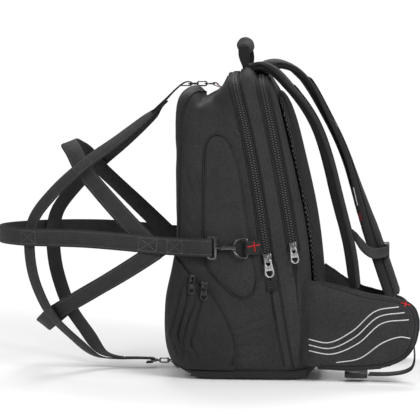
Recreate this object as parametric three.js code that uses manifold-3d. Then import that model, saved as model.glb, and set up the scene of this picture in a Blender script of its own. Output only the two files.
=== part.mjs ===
// Motorcycle backpack with padded harness, hip wings and a webbing carry net on its front.
// Millimetres, +Z up, +X toward the wearer's back, -X the front with the net, origin at the base's centre.
import * as THREE from "three";
import { mergeVertices } from "three/addons/utils/BufferGeometryUtils.js";
import Module from "manifold-3d";

const wasm = await Module();
wasm.setup();

// Driving sizes.
const GAP = 0.4;
const CLOTH = 2;
const BASE_Z = 2.9;
const WEBBING = { width: 25, thickness: 2 };
const CORNER = { top: 62, base: 24, front: 42, crown: 9 };
const ZIP = { half: 7.2, tape: 1.6, coil: 1.3, coilHalf: 2.6 };
const PAD = { back: 9.5, side: 5.5, strap: 12, strapWidth: 58 };
const NET_CENTRE = new THREE.Vector3(-190, 0, 185);

// Plan lines of the bag at each height: front face, the two zip lines, rear face and half width.
const BODY = [
  { z: 0, front: -76, frontZip: 82, mainZip: 110, rear: 120, half: 139 },
  { z: 26, front: -79, frontZip: 77, mainZip: 107, rear: 122, half: 142 },
  { z: 60, front: -80, frontZip: 70, mainZip: 101, rear: 121, half: 145 },
  { z: 90, front: -80, frontZip: 65, mainZip: 97, rear: 119, half: 147 },
  { z: 126, front: -79, frontZip: 59.5, mainZip: 94, rear: 117, half: 149 },
  { z: 165, front: -78, frontZip: 55, mainZip: 92, rear: 114, half: 150 },
  { z: 200, front: -78, frontZip: 50, mainZip: 88, rear: 110, half: 150 },
  { z: 239, front: -79, frontZip: 44.5, mainZip: 81.5, rear: 104, half: 149 },
  { z: 300, front: -80, frontZip: 34, mainZip: 70, rear: 90, half: 146 },
  { z: 340, front: -81, frontZip: 26, mainZip: 62, rear: 81, half: 142 },
  { z: 380, front: -79, frontZip: 16, mainZip: 53, rear: 70, half: 136 },
  { z: 410, front: -75, frontZip: 7, mainZip: 45, rear: 60, half: 130 },
  { z: 440, front: -70, frontZip: -1, mainZip: 37, rear: 49, half: 124 },
];
// Height of the bag's top from the front zip (0) to the front face (1), with the dip behind the front lip.
const FRONT_TOP = [
  { share: 0, top: 436 },
  { share: 0.1, top: 430 },
  { share: 0.24, top: 414 },
  { share: 0.4, top: 407 },
  { share: 0.58, top: 410 },
  { share: 0.72, top: 413 },
  { share: 0.88, top: 412 },
  { share: 1, top: 408 },
];
// How far the underside turns up toward the rear.
const REAR_RISE = { main: 5, rear: 9 };
// Where each zip opens: the band narrows to a seam between these heights.
const ZIP_END = {
  frontZip: { seam: 140, open: 168 },
  mainZip: { seam: 158, open: 184 },
};

const clamp = THREE.MathUtils.clamp;
const mix = THREE.MathUtils.lerp;
const smoothstep = THREE.MathUtils.smoothstep;
const radians = THREE.MathUtils.degToRad;
const at = (x, y, z) => new THREE.Vector3(x, y, z);

// Smooth value of one column of a table, held at the ends.
function read(rows, key, where, column) {
  const last = rows.length - 1;
  if (where <= rows[0][key]) return rows[0][column];
  if (where >= rows[last][key]) return rows[last][column];
  const i = rows.findIndex((row) => row[key] > where) - 1;
  const step = rows[i + 1][key] - rows[i][key];
  const slope = (k) => {
    const a = rows[Math.max(k - 1, 0)];
    const b = rows[Math.min(k + 1, last)];
    return ((b[column] - a[column]) / (b[key] - a[key])) * step;
  };
  const t = (where - rows[i][key]) / step;
  const from = rows[i][column];
  const to = rows[i + 1][column];
  const rise = slope(i) * t * (1 - t) * (1 - t) - slope(i + 1) * t * t * (1 - t);
  return from + (to - from) * t * t * (3 - 2 * t) + rise;
}

const body = (z, column) => read(BODY, "z", z, column);

// Half width of a zip band at a height; below its end it closes to a seam.
function zipHalf(zip, z) {
  const end = ZIP_END[zip];
  return mix(GAP / 2, ZIP.half, smoothstep(z, end.seam, end.open));
}

// Closed skin through rings of equal count, its two ends closed by fans.
function loft(rings) {
  const count = rings[0].length;
  const points = rings.flat();
  const faces = [];
  for (let r = 0; r + 1 < rings.length; r++) {
    for (let i = 0; i < count; i++) {
      const a = r * count + i;
      const b = r * count + ((i + 1) % count);
      faces.push(a, b, b + count, a, b + count, a + count);
    }
  }
  [rings[0], rings[rings.length - 1]].forEach((ring, end) => {
    const hub = points.length;
    const start = end ? (rings.length - 1) * count : 0;
    points.push(ring.reduce((sum, p) => sum.add(p), at(0, 0, 0)).divideScalar(count));
    for (let i = 0; i < count; i++) {
      const a = start + i;
      const b = start + ((i + 1) % count);
      if (end) faces.push(a, b, hub);
      else faces.push(b, a, hub);
    }
  });
  return outward(points, faces);
}

// Thick patch between two grids of points with equal rows and columns.
function slab(outer, inner) {
  const rows = outer.length;
  const cols = outer[0].length;
  const points = [...outer.flat(), ...inner.flat()];
  const shift = rows * cols;
  const faces = [];
  const quad = (a, b, c, d) => faces.push(a, b, c, a, c, d);
  const id = (r, c) => r * cols + c;
  for (let r = 0; r + 1 < rows; r++) {
    for (let c = 0; c + 1 < cols; c++) {
      quad(id(r, c), id(r + 1, c), id(r + 1, c + 1), id(r, c + 1));
      quad(shift + id(r, c), shift + id(r, c + 1), shift + id(r + 1, c + 1), shift + id(r + 1, c));
    }
  }
  const rim = [];
  for (let c = 0; c + 1 < cols; c++) rim.push(id(0, c));
  for (let r = 0; r + 1 < rows; r++) rim.push(id(r, cols - 1));
  for (let c = cols - 1; c > 0; c--) rim.push(id(rows - 1, c));
  for (let r = rows - 1; r > 0; r--) rim.push(id(r, 0));
  rim.forEach((a, i) => {
    const b = rim[(i + 1) % rim.length];
    quad(a, b, b + shift, a + shift);
  });
  return outward(points, faces);
}

// Indexed geometry with its faces turned to point out.
function outward(points, faces) {
  let volume = 0;
  for (let i = 0; i < faces.length; i += 3) {
    const [a, b, c] = [points[faces[i]], points[faces[i + 1]], points[faces[i + 2]]];
    volume += a.dot(b.clone().cross(c));
  }
  if (volume < 0) faces.reverse();
  return new THREE.BufferGeometry().setFromPoints(points).setIndex(faces);
}

// Solid of a geometry, for joining and cutting.
function solid(geometry) {
  const bare = geometry.clone();
  bare.deleteAttribute("normal");
  bare.deleteAttribute("uv");
  const merged = mergeVertices(bare, 1e-4);
  const triVerts = new Uint32Array(merged.index.array);
  const vertProperties = merged.attributes.position.array;
  return new wasm.Manifold(new wasm.Mesh({ numProp: 3, vertProperties, triVerts }));
}

// Geometry of a joined or cut solid.
function surface(made) {
  const mesh = made.getMesh();
  const geometry = new THREE.BufferGeometry();
  geometry.setAttribute("position", new THREE.BufferAttribute(mesh.vertProperties, 3));
  return geometry.setIndex(new THREE.BufferAttribute(mesh.triVerts, 1));
}

const join = (...parts) => surface(wasm.Manifold.union(parts.map(solid)));
const cut = (from, ...parts) => surface(solid(from).subtract(wasm.Manifold.union(parts.map(solid))));
const box = (x, y, z, w, d, h) => new THREE.BoxGeometry(w, d, h).translate(x, y, z);
const mirrored = (points) => points.map((p) => at(p.x, -p.y, p.z));

// Strap along a curve. Its sections lie across a fixed direction, or turn their flat side away from a centre.
// They stand evenly along the curve, or evenly between its points where it curls round a bar.
const SECTION = {
  flat: [[-1, -1], [1, -1], [1, 1], [-1, 1]],
  padded: [
    [-1, 0], [-0.86, -0.8], [-0.5, -1], [0.5, -1], [0.86, -0.8], [1, 0], [0.86, 0.8], [0.5, 1],
    [-0.5, 1], [-0.86, 0.8],
  ],
};
const size = (value, share) => (typeof value === "function" ? value(share) : value);

function strap(points, look) {
  const { width, thickness, across, facing, steps, section = "flat", twist = 0, even = true } = look;
  const curve = new THREE.CatmullRomCurve3(points, false, "centripetal");
  const rings = [];
  for (let i = 0; i <= steps; i++) {
    const share = i / steps;
    const p = even ? curve.getPointAt(share) : curve.getPoint(share);
    const along = even ? curve.getTangentAt(share) : curve.getTangent(share);
    const fixed = across ? across(share) : null;
    const side = (fixed ?? along.clone().cross(facing(p))).clone();
    side.addScaledVector(along, -side.dot(along)).normalize();
    side.applyAxisAngle(along, size(twist, share));
    const out = side.clone().cross(along);
    const w = size(width, share) / 2;
    const t = size(thickness, share) / 2;
    const corner = ([u, v]) => p.clone().addScaledVector(side, u * w).addScaledVector(out, v * t);
    rings.push(SECTION[section].map(corner));
  }
  return loft(rings);
}

const fromNet = (p) => p.clone().sub(at(Math.max(p.x, NET_CENTRE.x), 0, NET_CENTRE.z));
const ALONG_X = () => at(1, 0, 0);
const ALONG_Y = () => at(0, 1, 0);
const ALONG_Z = () => at(0, 0, 1);

// Outline of the bag across its depth: bottom centre, up the left side, top centre and down the right side.
function outline(top, inset = 0, insetZ = inset, rise = 0) {
  const low = BASE_Z + rise + insetZ;
  const high = top - insetZ;
  const base = Math.max(CORNER.base - inset, 6);
  const crest = Math.max(CORNER.top - inset, 10);
  const half = (z) => body(z, "half") - inset;
  const side = [];
  const floorHalf = half(low + base) - base;
  side.push([0, low], [floorHalf * 0.5, low]);
  for (let i = 0; i <= 3; i++) {
    const angle = (i / 3) * (Math.PI / 2);
    side.push([floorHalf + base * Math.sin(angle), low + base * (1 - Math.cos(angle))]);
  }
  const shoulder = high - CORNER.crown - crest;
  for (let i = 1; i < 6; i++) {
    const z = mix(low + base, shoulder, i / 6);
    side.push([half(z), z]);
  }
  const crestHalf = half(shoulder) - crest;
  for (let i = 0; i <= 4; i++) {
    const angle = (i / 4) * (Math.PI / 2);
    side.push([crestHalf + crest * Math.cos(angle), shoulder + crest * Math.sin(angle)]);
  }
  side.push([crestHalf * 0.55, high - CORNER.crown * 0.3], [0, high]);
  const other = side.slice(1, -1).reverse().map(([y, z]) => [-y, z]);
  return [...side, ...other];
}

const ring = (points, x) => points.map(([y, z]) => at(x(z), y, z));

// Front shell: a cloth cup from the front zip to the front face.
const frontX = (share, z) => mix(body(z, "frontZip") - zipHalf("frontZip", z), body(z, "front"), share);
const frontTop = (share) => read(FRONT_TOP, "share", share, "top");
const FRONT_LIFT = 0.42;
const FRONT_STATIONS = [0, 0.1, 0.24, 0.4, 0.55, 0.68];

function frontRings(wall) {
  const rings = FRONT_STATIONS.map((share) => ring(outline(frontTop(share), wall), (z) => frontX(share, z)));
  for (const angle of [22.5, 45, 67.5, 90]) {
    const turn = radians(angle);
    const share = mix(0.68, 1, Math.sin(turn));
    const inset = CORNER.front * (1 - Math.cos(turn));
    const edge = outline(frontTop(share), inset + wall, inset * FRONT_LIFT + wall);
    rings.push(ring(edge, (z) => frontX(share, z) + wall * Math.sin(turn)));
  }
  const middle = outline(frontTop(1), 95 + wall);
  rings.push(ring(middle, (z) => body(z, "front") + wall));
  return rings;
}
const frontShell = loft([...frontRings(CLOTH).reverse(), ...frontRings(0)]);

// Gusset band: a cloth ring between the two zips.
function gussetRings(wall) {
  const from = (z) => body(z, "frontZip") + zipHalf("frontZip", z);
  const to = (z) => body(z, "mainZip") - zipHalf("mainZip", z);
  return [0, 1].map((share) => ring(outline(437, wall, wall, REAR_RISE.main * share), share ? to : from));
}
const gussetBand = hoop([...gussetRings(CLOTH).reverse(), ...gussetRings(0)]);

// Closed skin through rings that come round to the first.
function hoop(rings) {
  const count = rings[0].length;
  const points = rings.flat();
  const faces = [];
  rings.forEach((_, r) => {
    const next = (r + 1) % rings.length;
    for (let i = 0; i < count; i++) {
      const j = (i + 1) % count;
      const [a, b, c, d] = [r * count + i, r * count + j, next * count + j, next * count + i];
      faces.push(a, b, c, a, c, d);
    }
  });
  return outward(points, faces);
}

// Back shell: a shallow cloth cup from the main zip to the rear face.
function backRings(wall) {
  const from = (z) => body(z, "mainZip") + zipHalf("mainZip", z);
  const rings = [];
  for (const angle of [0, 30, 60, 90]) {
    const turn = radians(angle);
    const inset = 10 * (1 - Math.cos(turn));
    const share = angle ? Math.sin(turn) : 0;
    const top = mix(436, 428, share);
    const rise = mix(REAR_RISE.main, REAR_RISE.rear, share);
    const edge = outline(top, inset + wall, inset + wall, rise);
    rings.push(ring(edge, (z) => mix(from(z), body(z, "rear") - wall, share)));
  }
  for (const inset of [45, 85]) {
    rings.push(ring(outline(428, inset + wall, inset + wall, REAR_RISE.rear), (z) => body(z, "rear") - wall));
  }
  return rings;
}
const backShell = loft([...backRings(CLOTH).reverse(), ...backRings(0)]);

// Zip band: tape with a raised coil, from its end on one side over the top to its end on the other.
function zipBand(zip, top) {
  const full = outline(top);
  const end = ZIP_END[zip].open - 8;
  const path = full.filter(([, z]) => z > end);
  const near = path[path.length - 1];
  const far = path[0];
  path.push([near[0], end]);
  path.unshift([far[0], end]);
  const rings = path.map(([y, z], i) => {
    const [y0, z0] = path[Math.max(i - 1, 0)];
    const [y1, z1] = path[Math.min(i + 1, path.length - 1)];
    const out = at(0, z1 - z0, -(y1 - y0)).normalize();
    const half = zipHalf(zip, z - 8) - 2 * GAP;
    const centre = body(z, zip);
    const coil = Math.min(ZIP.coilHalf, half * 0.6);
    const section = [
      [-half, -ZIP.tape], [half, -ZIP.tape], [half, 0], [coil, 0], [coil, ZIP.coil],
      [-coil, ZIP.coil], [-coil, 0], [-half, 0],
    ];
    return section.map(([x, lift]) => at(centre + x, y, z).addScaledVector(out, lift));
  });
  return loft(rings);
}

// Bag side at a height and depth, with the bottom edge's rounding and the front corner's.
function sideY(x, z) {
  const low = clamp(BASE_Z + CORNER.base - z, 0, CORNER.base);
  const half = body(z, "half") - CORNER.base + Math.sqrt(CORNER.base ** 2 - low ** 2);
  const start = frontX(0.68, z);
  const reach = clamp((start - x) / (start - body(z, "front")), 0, 1);
  return half - CORNER.front * (1 - Math.sqrt(1 - reach * reach));
}

// Base panel: a stiff tray under the shells, its edge turned up round the bottom.
const BASE_COLUMNS = [108, 96, 82, 54, 13, -28, -44, -56];

function basePanel() {
  const grid = (lift) =>
    BASE_COLUMNS.map((x) => {
      const start = frontX(0.68, BASE_Z);
      const reach = clamp((start - x) / (start - body(BASE_Z, "front")), 0, 1);
      const inset = CORNER.front * (1 - Math.sqrt(1 - reach * reach));
      const radius = CORNER.base - inset;
      const half = body(BASE_Z + CORNER.base, "half") - CORNER.base;
      const rear = clamp((x - body(BASE_Z, "frontZip")) / 28, 0, 1);
      const low = BASE_Z + inset * FRONT_LIFT + REAR_RISE.main * rear * rear;
      const row = [];
      for (const angle of [58, 40, 20, 0]) {
        const turn = radians(angle);
        const swing = radius + lift;
        row.push(at(x, -half - swing * Math.sin(turn), low + radius - swing * Math.cos(turn)));
      }
      row.push(at(x, -half * 0.4, low - lift));
      return [...row, ...mirrored(row).reverse()];
    });
  return slab(grid(BASE_Z), grid(1.5 * GAP));
}

// Front lower pocket: a puffed cloth wall wrapped round the front corners.
const POCKET = [
  { turn: 0, top: 52, puff: 1.2 },
  { turn: 0.25, top: 90, puff: 3 },
  { turn: 0.5, top: 108, puff: 4.5 },
  { turn: 0.75, top: 124, puff: 6 },
  { turn: 1, top: 133, puff: 8 },
  { turn: 1.25, top: 144, puff: 10 },
  { turn: 1.5, top: 166, puff: 12.5 },
  { turn: 2, top: 175, puff: 14 },
  { turn: 3, top: 178, puff: 15 },
];
const POCKET_EDGE = { rear: 6, low: 15 };

// Point of the lower front at a turn: 0 to 1 along the side, to 2 round the corner, to 3 at the front centre.
function wrap(turn, z, lift) {
  const front = body(z, "front");
  const r = CORNER.front;
  const low = clamp(BASE_Z + CORNER.base - z, 0, CORNER.base);
  const half = body(z, "half") - CORNER.base + Math.sqrt(CORNER.base ** 2 - low ** 2);
  if (turn <= 1) return at(mix(POCKET_EDGE.rear, front + r, turn), -half - lift, z);
  if (turn <= 2) {
    const a = ((turn - 1) * Math.PI) / 2;
    return at(front + r - (r + lift) * Math.sin(a), -(half - r) - (r + lift) * Math.cos(a), z);
  }
  return at(front - lift, mix(-(half - r), 0, turn - 2), z);
}

function frontPocket() {
  const turns = [0, 0.25, 0.5, 0.75, 1, 1.25, 1.5, 1.75, 2, 2.5, 3];
  const grid = (lift) => {
    const near = turns.map((turn) => {
      const top = read(POCKET, "turn", turn, "top");
      const puff = read(POCKET, "turn", turn, "puff");
      return [0, 0.12, 0.3, 0.5, 0.7, 0.88, 1].map((share) => {
        const swell = puff * Math.sin(Math.PI * Math.pow(share, 0.7));
        return wrap(turn, mix(POCKET_EDGE.low, top, share), lift + swell);
      });
    });
    return [...near, ...near.slice(0, -1).reverse().map(mirrored)];
  };
  return slab(grid(6 * GAP + CLOTH), grid(6 * GAP));
}

// Raised teardrop panel on the bag's side.
const TEARDROP = [
  { x: -36, z: 250 }, { x: -35, z: 322 }, { x: -30, z: 339 }, { x: -18, z: 346 }, { x: -7, z: 341 },
  { x: 2, z: 329 }, { x: 9, z: 307 }, { x: 15, z: 286 }, { x: 21, z: 239 }, { x: 27, z: 205 },
  { x: 32, z: 171 }, { x: 37, z: 149 }, { x: 36, z: 130 }, { x: 21, z: 118 }, { x: 5, z: 123 },
  { x: -17, z: 144 }, { x: -30, z: 159 }, { x: -36, z: 182 },
];
const TEARDROP_CENTRE = { x: -6, z: 220 };

function sidePad() {
  const loop = (scale, lift) =>
    TEARDROP.map((row) => {
      const x = mix(TEARDROP_CENTRE.x, row.x, scale);
      const z = mix(TEARDROP_CENTRE.z, row.z, scale);
      return at(x, -sideY(x, z) - lift, z);
    });
  const inner = [0.3, 0.65, 1].map((scale) => loop(scale, 2 * GAP));
  const outer = [
    [1, 1.6], [0.93, 0.75 * PAD.side], [0.8, PAD.side], [0.5, PAD.side + 0.6],
    [0.2, PAD.side + 0.6],
  ];
  return loft([...inner, ...outer.map(([scale, lift]) => loop(scale, GAP + lift))]);
}

// Mesh back pad on the rear face.
function backPad() {
  const rear = (lift) => (z) => body(z, "rear") + lift;
  const loop = (inset, lift) => ring(outline(424, inset), rear(lift));
  const inner = [85, 45, 14].map((inset) => loop(inset, 2.5 * GAP));
  const outer = [[12, 4], [15, 7.2], [24, PAD.back], [85, PAD.back]];
  return loft([...inner, ...outer.map(([inset, lift]) => loop(inset, lift))]);
}

// Grab handle over the top and its grip sleeve.
const HANDLE = [
  at(17, -52, 433.9), at(14.5, -50, 452), at(12.5, -40, 469), at(12.5, -20, 475), at(12.5, 0, 476),
];
const handlePath = [...HANDLE, ...mirrored(HANDLE.slice(0, -1)).reverse()];
function handleWidth(share) {
  const rise = Math.min(share, 1 - share);
  return mix(9, 20, smoothstep(rise, 0.02, 0.17)) - 4 * smoothstep(rise, 0.2, 0.29);
}

const handleLoop = strap(handlePath, { width: handleWidth, thickness: 3, across: ALONG_X, steps: 24 });

function handleGrip() {
  const curve = new THREE.CatmullRomCurve3(handlePath, false, "centripetal");
  const sleeve = (scale) => {
    const rings = [];
    for (let i = 0; i <= 6; i++) {
      const share = mix(0.3, 0.7, i / 6);
      const p = curve.getPointAt(share);
      const along = curve.getTangentAt(share);
      const out = at(0, -along.z, along.y);
      if (out.z < 0) out.negate();
      const section = [];
      for (let k = 0; k < 10; k++) {
        const a = (k / 10) * 2 * Math.PI;
        const rim = at(p.x + scale.x * Math.cos(a), p.y, p.z);
        section.push(rim.addScaledVector(out, scale.z * Math.sin(a)));
      }
      rings.push(section);
    }
    return rings;
  };
  return hoop([...sleeve({ x: 10.2, z: 4 }).reverse(), ...sleeve({ x: 12.2, z: 8.8 })]);
}

// Shoulder straps: the right one hangs close, the left one stands further out.
const STRAP_RIGHT = [
  at(26.6, -46, 438.2), at(46, -54, 443), at(64, -62, 431),
  at(83, -72, 409), at(100, -80, 388), at(119, -88, 356),
  at(135, -95, 310), at(147, -100, 262), at(156, -104, 228),
  at(164, -107, 197), at(170, -110, 164), at(173, -112, 134),
];
const STRAP_LEFT = [
  at(26.6, 46, 438.1), at(50, 54, 450), at(76, 62, 444.5), at(98.5, 71, 423.5), at(114, 79, 397),
  at(129, 86, 369), at(144.5, 93, 338), at(158, 98, 305), at(171, 102, 266),
  at(184, 105, 229), at(198, 108, 188), at(210, 110, 154),
  at(222, 112, 119), at(228, 113, 101),
];
const strapWidth = (share) => PAD.strapWidth * mix(0.72, 1, smoothstep(share, 0.02, 0.3));
const strapDepth = (share) => PAD.strap * mix(0.45, 1, smoothstep(share, 0, 0.16));
const fromBack = (p) => at(p.x - 20, 0, (p.z - 250) * 0.75);

function shoulder(points, twist) {
  const look = { width: strapWidth, thickness: strapDepth, facing: fromBack, section: "padded" };
  return strap(points, { ...look, steps: 20, twist });
}
const rightTwist = (share) => -0.12 * share;
const leftTwist = (share) => 0.34 * smoothstep(share, 0.1, 0.5);

// Lower strap webbing, from the buckle at the pad's end to the bag's lower corner.
const LOW_RIGHT = [
  at(173.5, -112, 109.3), at(171.5, -112, 92), at(165, -111, 70), at(153, -110, 52),
  at(132.6, -109, 40),
];
const LOW_LEFT = [
  at(229.5, 113, 76.4), at(222, 113, 61), at(200, 112, 48), at(170, 110, 42), at(132.2, 109, 38),
];
const lowWebbing = (points) =>
  strap(points, { ...WEBBING, across: ALONG_Y, steps: 12 });

// Ladder-lock buckle standing upright on the webbing's line.
function ladderLock(x, y, z) {
  const frame = box(x, y, z, 4.6, 36, 22);
  return cut(frame, box(x, y, z + 6.2, 6, 28, 5), box(x, y, z - 5.5, 6, 28, 6.5));
}

// Sternum strap across to the left strap, with its side buckle.
const STERNUM = [
  at(172, -96, 205), at(181, -70, 191), at(190, -35, 178), at(200, 10, 170), at(212, 52, 168),
  at(218.5, 78.6, 168),
];
const sternumStrap = strap(STERNUM, { width: 20, thickness: 2.4, across: ALONG_Z, steps: 16 });

function sternumBuckle() {
  const shell = new THREE.Shape();
  shell.moveTo(-13, -11).lineTo(10, -13).lineTo(13, -8);
  shell.lineTo(13, 8).lineTo(10, 13).lineTo(-13, 11).closePath();
  const solidBuckle = new THREE.ExtrudeGeometry(shell, { depth: 9, bevelEnabled: false });
  return solidBuckle.rotateY(Math.PI / 2).rotateX(Math.PI / 2).translate(214, 92.5, 168);
}

// Padded hip wing: edges and standing of its sections along the depth.
const WING_RIGHT = [
  { x: 99, top: 147, low: 24, out: 151.8, thick: 6 },
  { x: 112, top: 146, low: 21, out: 153.4, thick: 10 },
  { x: 135, top: 142, low: 19, out: 153, thick: 13 },
  { x: 162, top: 136, low: 17, out: 151, thick: 13 },
  { x: 190, top: 129, low: 16, out: 151, thick: 13 },
  { x: 215, top: 125, low: 19, out: 149, thick: 13 },
  { x: 238, top: 120, low: 27, out: 147, thick: 12 },
  { x: 251, top: 115, low: 38, out: 145, thick: 11 },
  { x: 260, top: 106, low: 54, out: 143, thick: 9 },
  { x: 264, top: 93, low: 72, out: 142, thick: 6 },
];
const WING_LEFT = [
  { x: 99, top: 150, low: 24, out: 151.9, thick: 6 },
  { x: 112, top: 149, low: 21, out: 153.4, thick: 10 },
  { x: 128, top: 143, low: 19, out: 153, thick: 13 },
  { x: 145, top: 131, low: 17, out: 150, thick: 13 },
  { x: 162, top: 118, low: 16, out: 150, thick: 13 },
  { x: 190, top: 108, low: 15, out: 149, thick: 13 },
  { x: 218, top: 102, low: 17, out: 147, thick: 13 },
  { x: 240, top: 96, low: 24, out: 145, thick: 11 },
  { x: 252, top: 88, low: 34, out: 143, thick: 9 },
  { x: 257, top: 76, low: 48, out: 142, thick: 6 },
];

function wing(rows, side) {
  const section = [
    [-1, 0], [-0.93, 0.75], [-0.7, 1], [0, 1.08], [0.7, 1], [0.93, 0.75], [1, 0], [0.93, -0.75],
    [0.7, -1], [0, -1], [-0.7, -1], [-0.93, -0.75],
  ];
  const rings = rows.map((row) => {
    const middle = (row.top + row.low) / 2;
    const reach = (row.top - row.low) / 2;
    return section.map(([u, v]) => at(row.x, side * (row.out + (v * row.thick) / 2), middle + u * reach));
  });
  return loft(rings);
}

// Hip webbing: out of the wing's tip, down and back under the wing to its buckle half.
const HIP_RIGHT = [
  at(258, -142, 48.2), at(258.4, -141, 41), at(257.8, -139, 30), at(254, -137, 21), at(244, -134, 15),
  at(225, -130, 11.3), at(206, -127, 10.3), at(195, -126, 10.3),
];
const HIP_LEFT = [
  at(250.5, 142, 31), at(250, 140, 24), at(246, 137, 15), at(235, 132, 9), at(212, 127, 6.5),
  at(186, 124, 5.5), at(172, 123, 5.5),
];
const hipWebbing = (points) => strap(points, { width: 30, thickness: 2.2, across: ALONG_Y, steps: 18 });

// Buckle half: a flat box with a prong end, lying under the wing.
function hipBuckle(x, y, z) {
  const shape = new THREE.Shape();
  shape.moveTo(0, -17).lineTo(0, 17).lineTo(-22, 20);
  shape.lineTo(-32, 14).lineTo(-32, -14).lineTo(-22, -20).closePath();
  return new THREE.ExtrudeGeometry(shape, { depth: 8.6, bevelEnabled: false }).translate(x, y, z);
}

// Zip slider and pull in a frame of their own: x across the zip, y out of the bag, z along the zip.
const SLIDER = { width: 11, length: 13, depth: 3.2, bail: 2.4 };
const PULL = { width: 13, length: 25, thickness: 2, rail: 2.6, hole: 8.4 };
const HINGE = { y: 5.4, z: -1.9 };

function slider(scale) {
  const plate = box(0, SLIDER.depth / 2, 0, SLIDER.width, SLIDER.depth, SLIDER.length);
  const arch = cut(box(0, 5.8, -0.4, SLIDER.bail, 6.4, 9.2), box(0, 5.4, -0.6, 5, 4.4, 5.6));
  return join(plate, arch).scale(scale, scale, scale);
}

function pull(scale) {
  const h = PULL.width / 2;
  const shape = new THREE.Shape();
  shape.moveTo(-h + 2, 1).lineTo(h - 2, 1).lineTo(h, -3).lineTo(h, -PULL.length + 4);
  shape.lineTo(h - 3, -PULL.length).lineTo(-h + 3, -PULL.length);
  shape.lineTo(-h, -PULL.length + 4).lineTo(-h, -3).closePath();
  const window = (half, from, to) => {
    const hole = new THREE.Path();
    hole.moveTo(-half, from).lineTo(half, from).lineTo(half, to).lineTo(-half, to).closePath();
    shape.holes.push(hole);
  };
  window(h - PULL.rail - 0.5, -PULL.hole, -1);
  window(h - 3.6, -PULL.length + 3, -PULL.length + 9);
  const plate = new THREE.ExtrudeGeometry(shape, { depth: PULL.thickness, bevelEnabled: false });
  plate.translate(0, 0, -PULL.thickness / 2).rotateX(Math.PI / 2);
  return plate.translate(0, HINGE.y, HINGE.z).scale(scale, scale, scale);
}

// Snap hook, gate, ring and tab in a frame of their own: x toward the tab, z along the ring's bar.
const HOOK = { thick: 5, ringReach: 11, ringHalf: 13.5, wire: 1.8 };

function plane(points, holes, depth) {
  const shape = new THREE.Shape(points.map(([x, y]) => new THREE.Vector2(x, y)));
  holes.forEach((hole) => shape.holes.push(new THREE.Path(hole.map(([x, y]) => new THREE.Vector2(x, y)))));
  return new THREE.ExtrudeGeometry(shape, { depth, bevelEnabled: false }).translate(0, 0, -depth / 2);
}

function hook() {
  const outer = [
    [-29, -3.5], [-26, -6], [-8.5, -6], [-5.6, -3], [-5.6, 3], [-8.5, 6], [-26, 6], [-29, 3.5],
  ];
  const inner = [[-25.4, -3], [-25.4, 3], [-9.5, 3], [-8.6, 2], [-8.6, -2], [-9.5, -3]];
  const loop = cut(plane(outer, [inner], HOOK.thick), box(-18.6, -5, 0, 10.4, 4.2, 9));
  const neck = new THREE.CylinderGeometry(2.7, 2.7, 8, 6).rotateZ(Math.PI / 2).translate(-31.5, 0, 0);
  const rim = [
    [-34, 12], [-36, 16.5], [-44, 16.5], [-47, 14], [-47, -14], [-44, -16.5], [-36, -16.5],
    [-34, -12],
  ];
  const slot = [[-37.2, -13.4], [-43.4, -13.4], [-43.4, 13.4], [-37.2, 13.4]];
  const eye = plane(rim, [slot], 3.6).rotateX(Math.PI / 2);
  return join(loop, neck, eye);
}

const gate = () => plane([[-23.1, -5.6], [-13.9, -5.6], [-13.9, -3.4], [-23.1, -3.2]], [], HOOK.thick - 0.6);

function dRing() {
  const bar = HOOK.ringHalf;
  const points = [
    at(8, 0, -bar), at(9.5, 0, -bar + 3), at(9.5, 0, bar - 3), at(8, 0, bar), at(0, 0, bar),
    at(-8, 0, 8.4), at(-HOOK.ringReach, 0, 0), at(-8, 0, -8.4), at(0, 0, -bar),
  ];
  const curve = new THREE.CatmullRomCurve3(points, true, "centripetal");
  return new THREE.TubeGeometry(curve, 14, HOOK.wire, 5, true);
}

// Webbing tab folded round the ring's bar, its two layers sewn to the bag at a drop below the ring.
function ringTab(drop) {
  const sewn = [
    at(25.5, drop + 1.3, 0), at(20, drop * 0.72 + 1.6, 0), at(14, drop * 0.3 + 2.4, 0),
    at(9.5, 3.3, 0),
  ];
  const back = [
    at(9.5, -3.3, 0), at(14, drop * 0.3 - 3.8, 0), at(20, drop * 0.72 - 1.4, 0),
    at(25.5, drop - 1.3, 0),
  ];
  return strap([...sewn, at(6.1, 0, 0), ...back], { width: 19, thickness: 1.6, across: ALONG_Z, steps: 15 });
}

// Carry net, in the form it holds round a load: long side straps, and three straps across from side to side.
const NET_LONG = [
  at(-100, -12.8, 389), at(-116, -15, 374.5), at(-165, -50, 340), at(-217, -86, 299), at(-256, -98, 262),
  at(-283, -103, 226), at(-290, -104, 195), at(-287, -100, 150), at(-277, -92, 115), at(-262, -79, 83),
  at(-231, -53, 46), at(-204, -25, 19), at(-178, -10, 13.6), at(-150, -5.4, 13.6), at(-132, -4.6, 13.4),
  at(-126.6, -4.6, 13.2), at(-123.4, -4.6, 12.9), at(-122.9, -4.6, 10.5), at(-123.4, -4.6, 8.1),
  at(-126.6, -4.6, 7.8), at(-134, -4.6, 7.6),
];
const NET_UPPER = [
  at(-104, -126.1, 180), at(-120, -125.1, 196), at(-150, -119, 226),
  at(-190, -100, 267), at(-215.5, -80.5, 294),
  at(-234, -50, 320), at(-245, -22, 330), at(-248, 0, 333),
];
const NET_LOWER = [
  at(-104, -129.5, 182), at(-122, -128.5, 170), at(-155, -122.5, 149),
  at(-205, -105, 119), at(-257.6, -74.6, 87.4),
  at(-277, -48, 71), at(-285, -20, 64), at(-287, 0, 62),
];
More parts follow.
